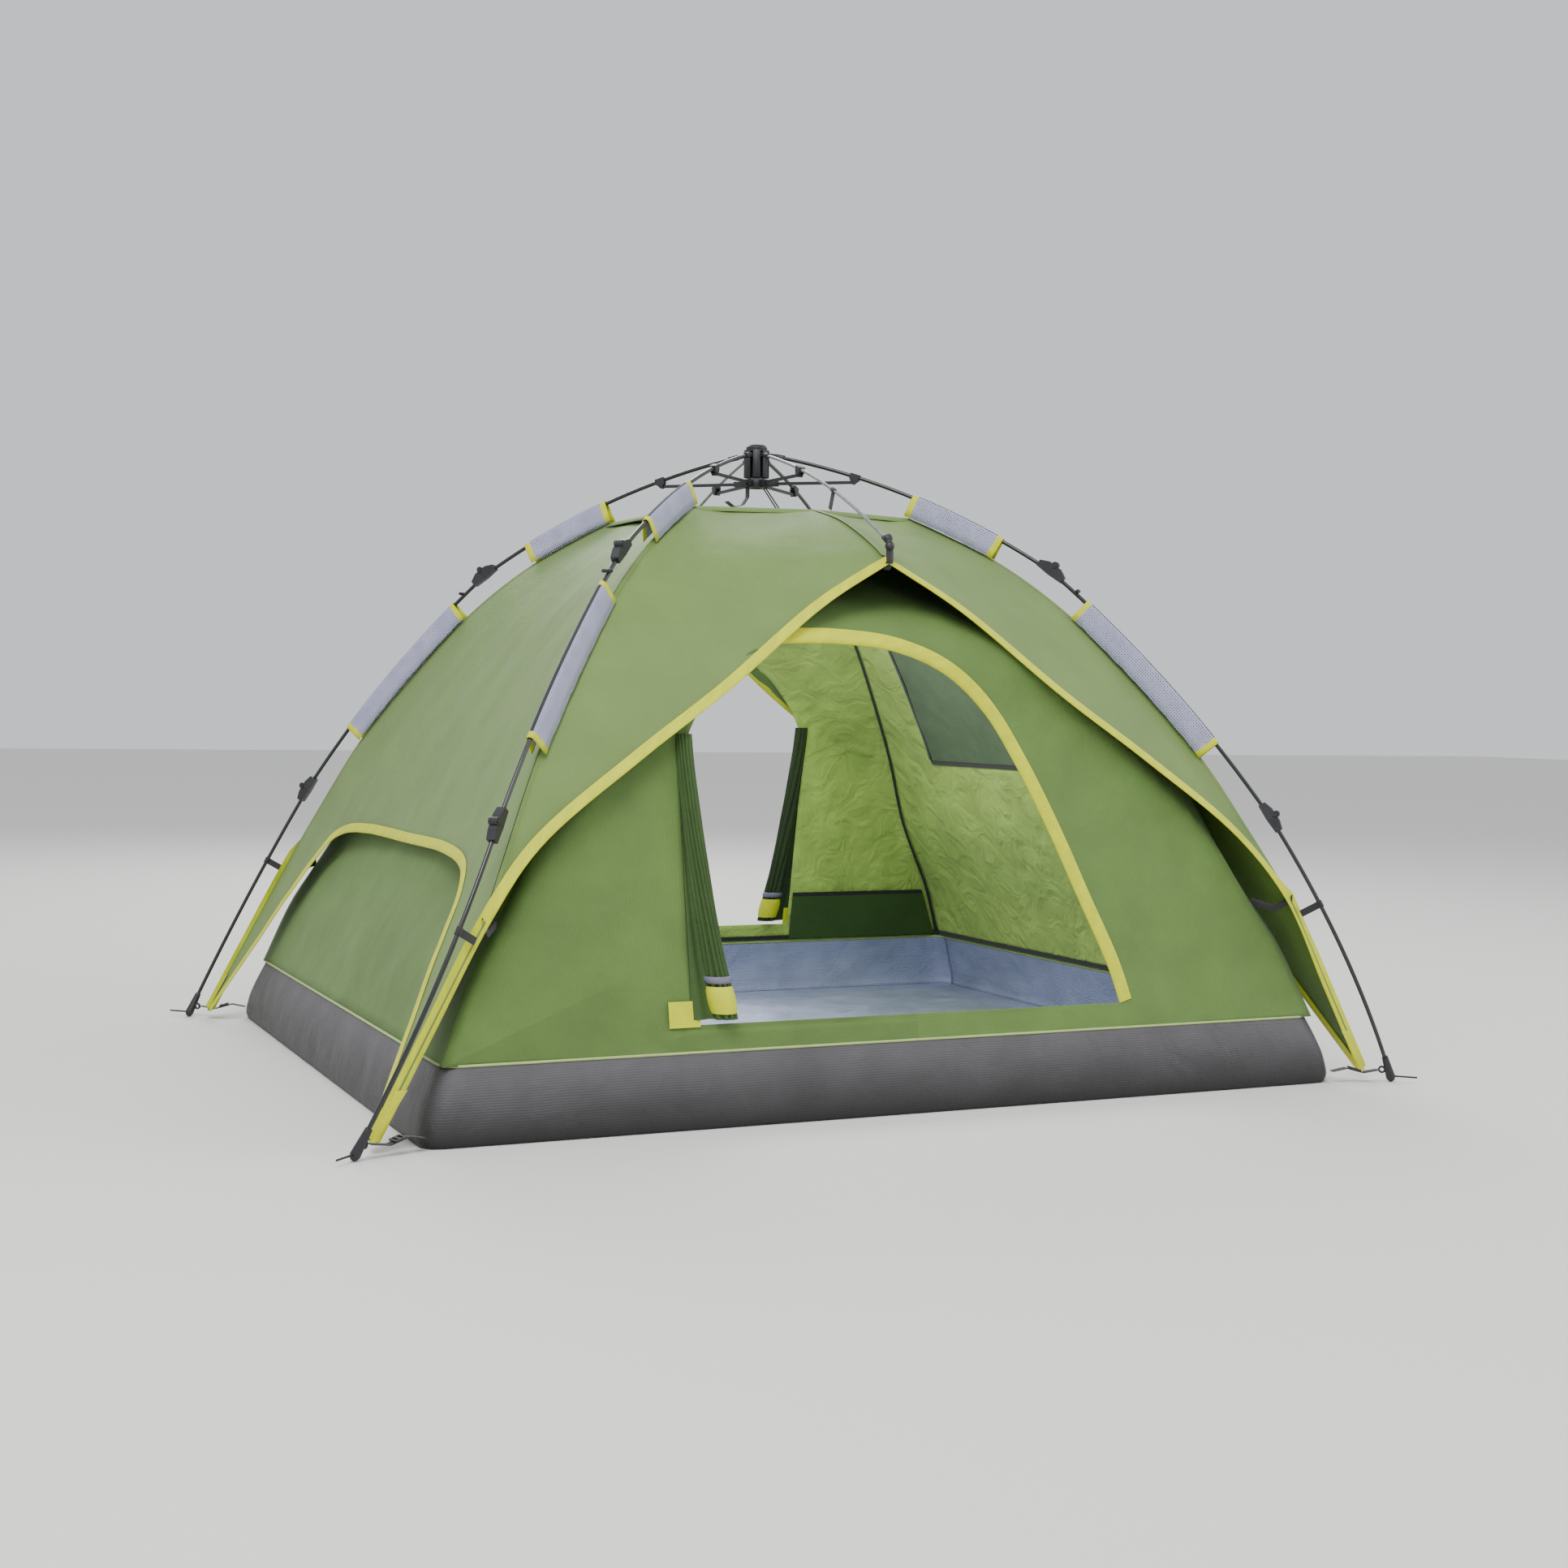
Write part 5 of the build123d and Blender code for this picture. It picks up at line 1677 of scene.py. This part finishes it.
    def base_strips(self):
        """Dark strips inside, on both sides of each doorway's foot, with a seam above each."""
        heights = np.linspace(BASE_FOOT, BASE_TOP, 8)
        seams = Sheet("base_seams")
        for name, turn in (("front", 1), ("back", -1)):
            strip = Sheet(f"base_strip_{name}")
            for side in (1, -1):
                rows = []
                for height in [*heights, BASE_TOP + 0.011]:
                    far = float(at_height(height, 1)) - 0.016
                    across = side * np.linspace(BASE_START, far, BASE_COLUMNS)
                    flat = np.stack([across, np.full(BASE_COLUMNS, height)], axis=1)
                    rows.append(door_wall(flat) - wall_normal(flat) * BASE_INSET)
                grid = mirror(np.array(rows), turn, turn)
                strip.add(grid[:-1])
                seams.add(grid[-2:] + np.array([0, 0.0005, 0]) * turn)
            piece = strip.build([base_cloth()])
            declare(strip)
            hang(piece)
        seam = seams.build([webbing_cloth()])
        declare(seams)
        hang(seam)


# ------------------------------------------------------------ finishes of the frame
class TENT_OT_frame(bpy.types.Operator):
    """Gives the hub, poles, knuckles, struts, feet and straps their finishes"""

    bl_idname = "object.tent_frame"
    bl_label = "Frame finishes"

    def execute(self, context):
        edge = context.scene.tent_frame.edge
        for name, node in frame["nodes"].items():
            if node.hide_render:
                continue
            material = self.material_for(name)
            node.data.materials.clear()
            node.data.materials.append(material)
            if material is black_plastic():
                self.round_edges(node, edge)
        return {"FINISHED"}

    def material_for(self, name):
        if name == "hub_pins":
            return steel_finish()
        if "webbing" in name or "strap" in name and "buckle" not in name or name == "fly_cords":
            return webbing_cloth()
        if name.startswith("ridge_rod"):
            return rod_finish()
        if "_pole_" in name:
            return pole_finish()
        return black_plastic()

    def round_edges(self, node, width):
        weld = node.modifiers.new("weld", "WELD")
        weld.merge_threshold = 0.00001
        bevel = node.modifiers.new("edge", "BEVEL")
        bevel.width = width
        bevel.segments = 2
        bevel.limit_method = "ANGLE"
        bevel.angle_limit = math.radians(40)
        bevel.harden_normals = True


# ------------------------------------------------------------ stage
class TENT_OT_stage(bpy.types.Operator):
    """Sets the pale floor, the soft studio lights and the camera"""

    bl_idname = "object.tent_stage"
    bl_label = "Stage"

    def execute(self, context):
        self.floor()
        self.lights()
        self.camera()
        return {"FINISHED"}

    def floor(self):
        mesh = bpy.data.meshes.new("studio_floor")
        ways = ((-1, -1), (1, -1), (1, 1), (-1, 1))
        corners = [(x * FLOOR_HALF, y * FLOOR_HALF, 0) for x, y in ways]
        mesh.from_pydata(corners, [], [(0, 1, 2, 3)])
        floor = bpy.data.objects.new("studio_floor", mesh)
        bpy.context.scene.collection.objects.link(floor)
        # uncoated paper backdrop: matt all over, so that only soft shadows show
        mesh.materials.append(principled("matt_paper", hex_colour("#DEDDD9"), Roughness=0.9)[0])
        floor.location.z = -FLOOR_DROP

    def lights(self):
        world = bpy.data.worlds.new("studio")
        world.use_nodes = True
        background = world.node_tree.nodes["Background"]
        background.inputs["Color"].default_value = hex_colour("#EEF1F4")
        background.inputs["Strength"].default_value = WORLD_STRENGTH
        bpy.context.scene.world = world
        for lamp in LAMPS:
            self.lamp(*lamp)

    def lamp(self, name, place, size, power):
        light = bpy.data.lights.new(name, "AREA")
        light.size = size
        light.energy = power
        lamp = bpy.data.objects.new(name, light)
        lamp.location = place
        aim = Vector(LAMP_AIM) - Vector(place)
        lamp.rotation_euler = aim.to_track_quat("-Z", "Y").to_euler()
        bpy.context.scene.collection.objects.link(lamp)

    def camera(self):
        lens = bpy.data.cameras.new("camera")
        lens.sensor_width = CAMERA_SENSOR
        lens.lens = CAMERA_LENS
        camera = bpy.data.objects.new("camera", lens)
        yaw, pitch, roll = (math.radians(angle) for angle in CAMERA_TURN)
        forward = Vector(
            (math.sin(yaw) * math.cos(pitch), math.cos(yaw) * math.cos(pitch), -math.sin(pitch))
        )
        right = Vector((math.cos(yaw), -math.sin(yaw), 0))
        up = right.cross(forward)
        level_right = right * math.cos(roll) + up * math.sin(roll)
        level_up = up * math.cos(roll) - right * math.sin(roll)
        turn = Matrix((level_right, level_up, -forward)).transposed()
        camera.matrix_world = Matrix.Translation(CAMERA_PLACE) @ turn.to_4x4()
        bpy.context.scene.collection.objects.link(camera)
        bpy.context.scene.camera = camera


class TENT_PT_panel(bpy.types.Panel):
    """Lists the tent's pieces in the sidebar"""

    bl_label = "Dome tent"
    bl_idname = "TENT_PT_panel"
    bl_space_type = "VIEW_3D"
    bl_region_type = "UI"
    bl_category = "Tent"

    def draw(self, context):
        for group, settings, operators in PARTS:
            box = self.layout.box()
            if settings:
                values = getattr(context.scene, group)
                for key in settings.__annotations__:
                    box.prop(values, key)
            for operator in operators:
                box.operator(operator.bl_idname)


PARTS = [
    ("tent_fly", FlySettings, [TENT_OT_fly]),
    ("tent_inner", InnerSettings, [TENT_OT_inner, TENT_OT_windows, TENT_OT_doors]),
    ("tent_floor", FloorSettings, [TENT_OT_floor]),
    ("tent_sleeve", SleeveSettings, [TENT_OT_sleeves]),
    ("tent_frame", FrameSettings, [TENT_OT_trimmings, TENT_OT_frame]),
    ("tent_stage", None, [TENT_OT_stage]),
]


def register():
    for group, settings, operators in PARTS:
        if settings:
            bpy.utils.register_class(settings)
            setattr(bpy.types.Scene, group, bpy.props.PointerProperty(type=settings))
        for operator in operators:
            bpy.utils.register_class(operator)
    bpy.utils.register_class(TENT_PT_panel)


def unregister():
    bpy.utils.unregister_class(TENT_PT_panel)
    for group, settings, operators in reversed(PARTS):
        for operator in operators:
            bpy.utils.unregister_class(operator)
        if settings:
            delattr(bpy.types.Scene, group)
            bpy.utils.unregister_class(settings)


def main():
    register()
    for name in ("Cube", "Light", "Camera"):
        spare = bpy.data.objects.get(name)
        if spare:
            bpy.data.objects.remove(spare)
    bpy.ops.object.tent_stage()
    bpy.ops.object.tent_fly()
    bpy.ops.object.tent_inner()
    bpy.ops.object.tent_windows()
    bpy.ops.object.tent_doors()
    bpy.ops.object.tent_floor()
    bpy.ops.object.tent_sleeves()
    bpy.ops.object.tent_trimmings()
    bpy.ops.object.tent_frame()


if __name__ == "__main__":
    main()
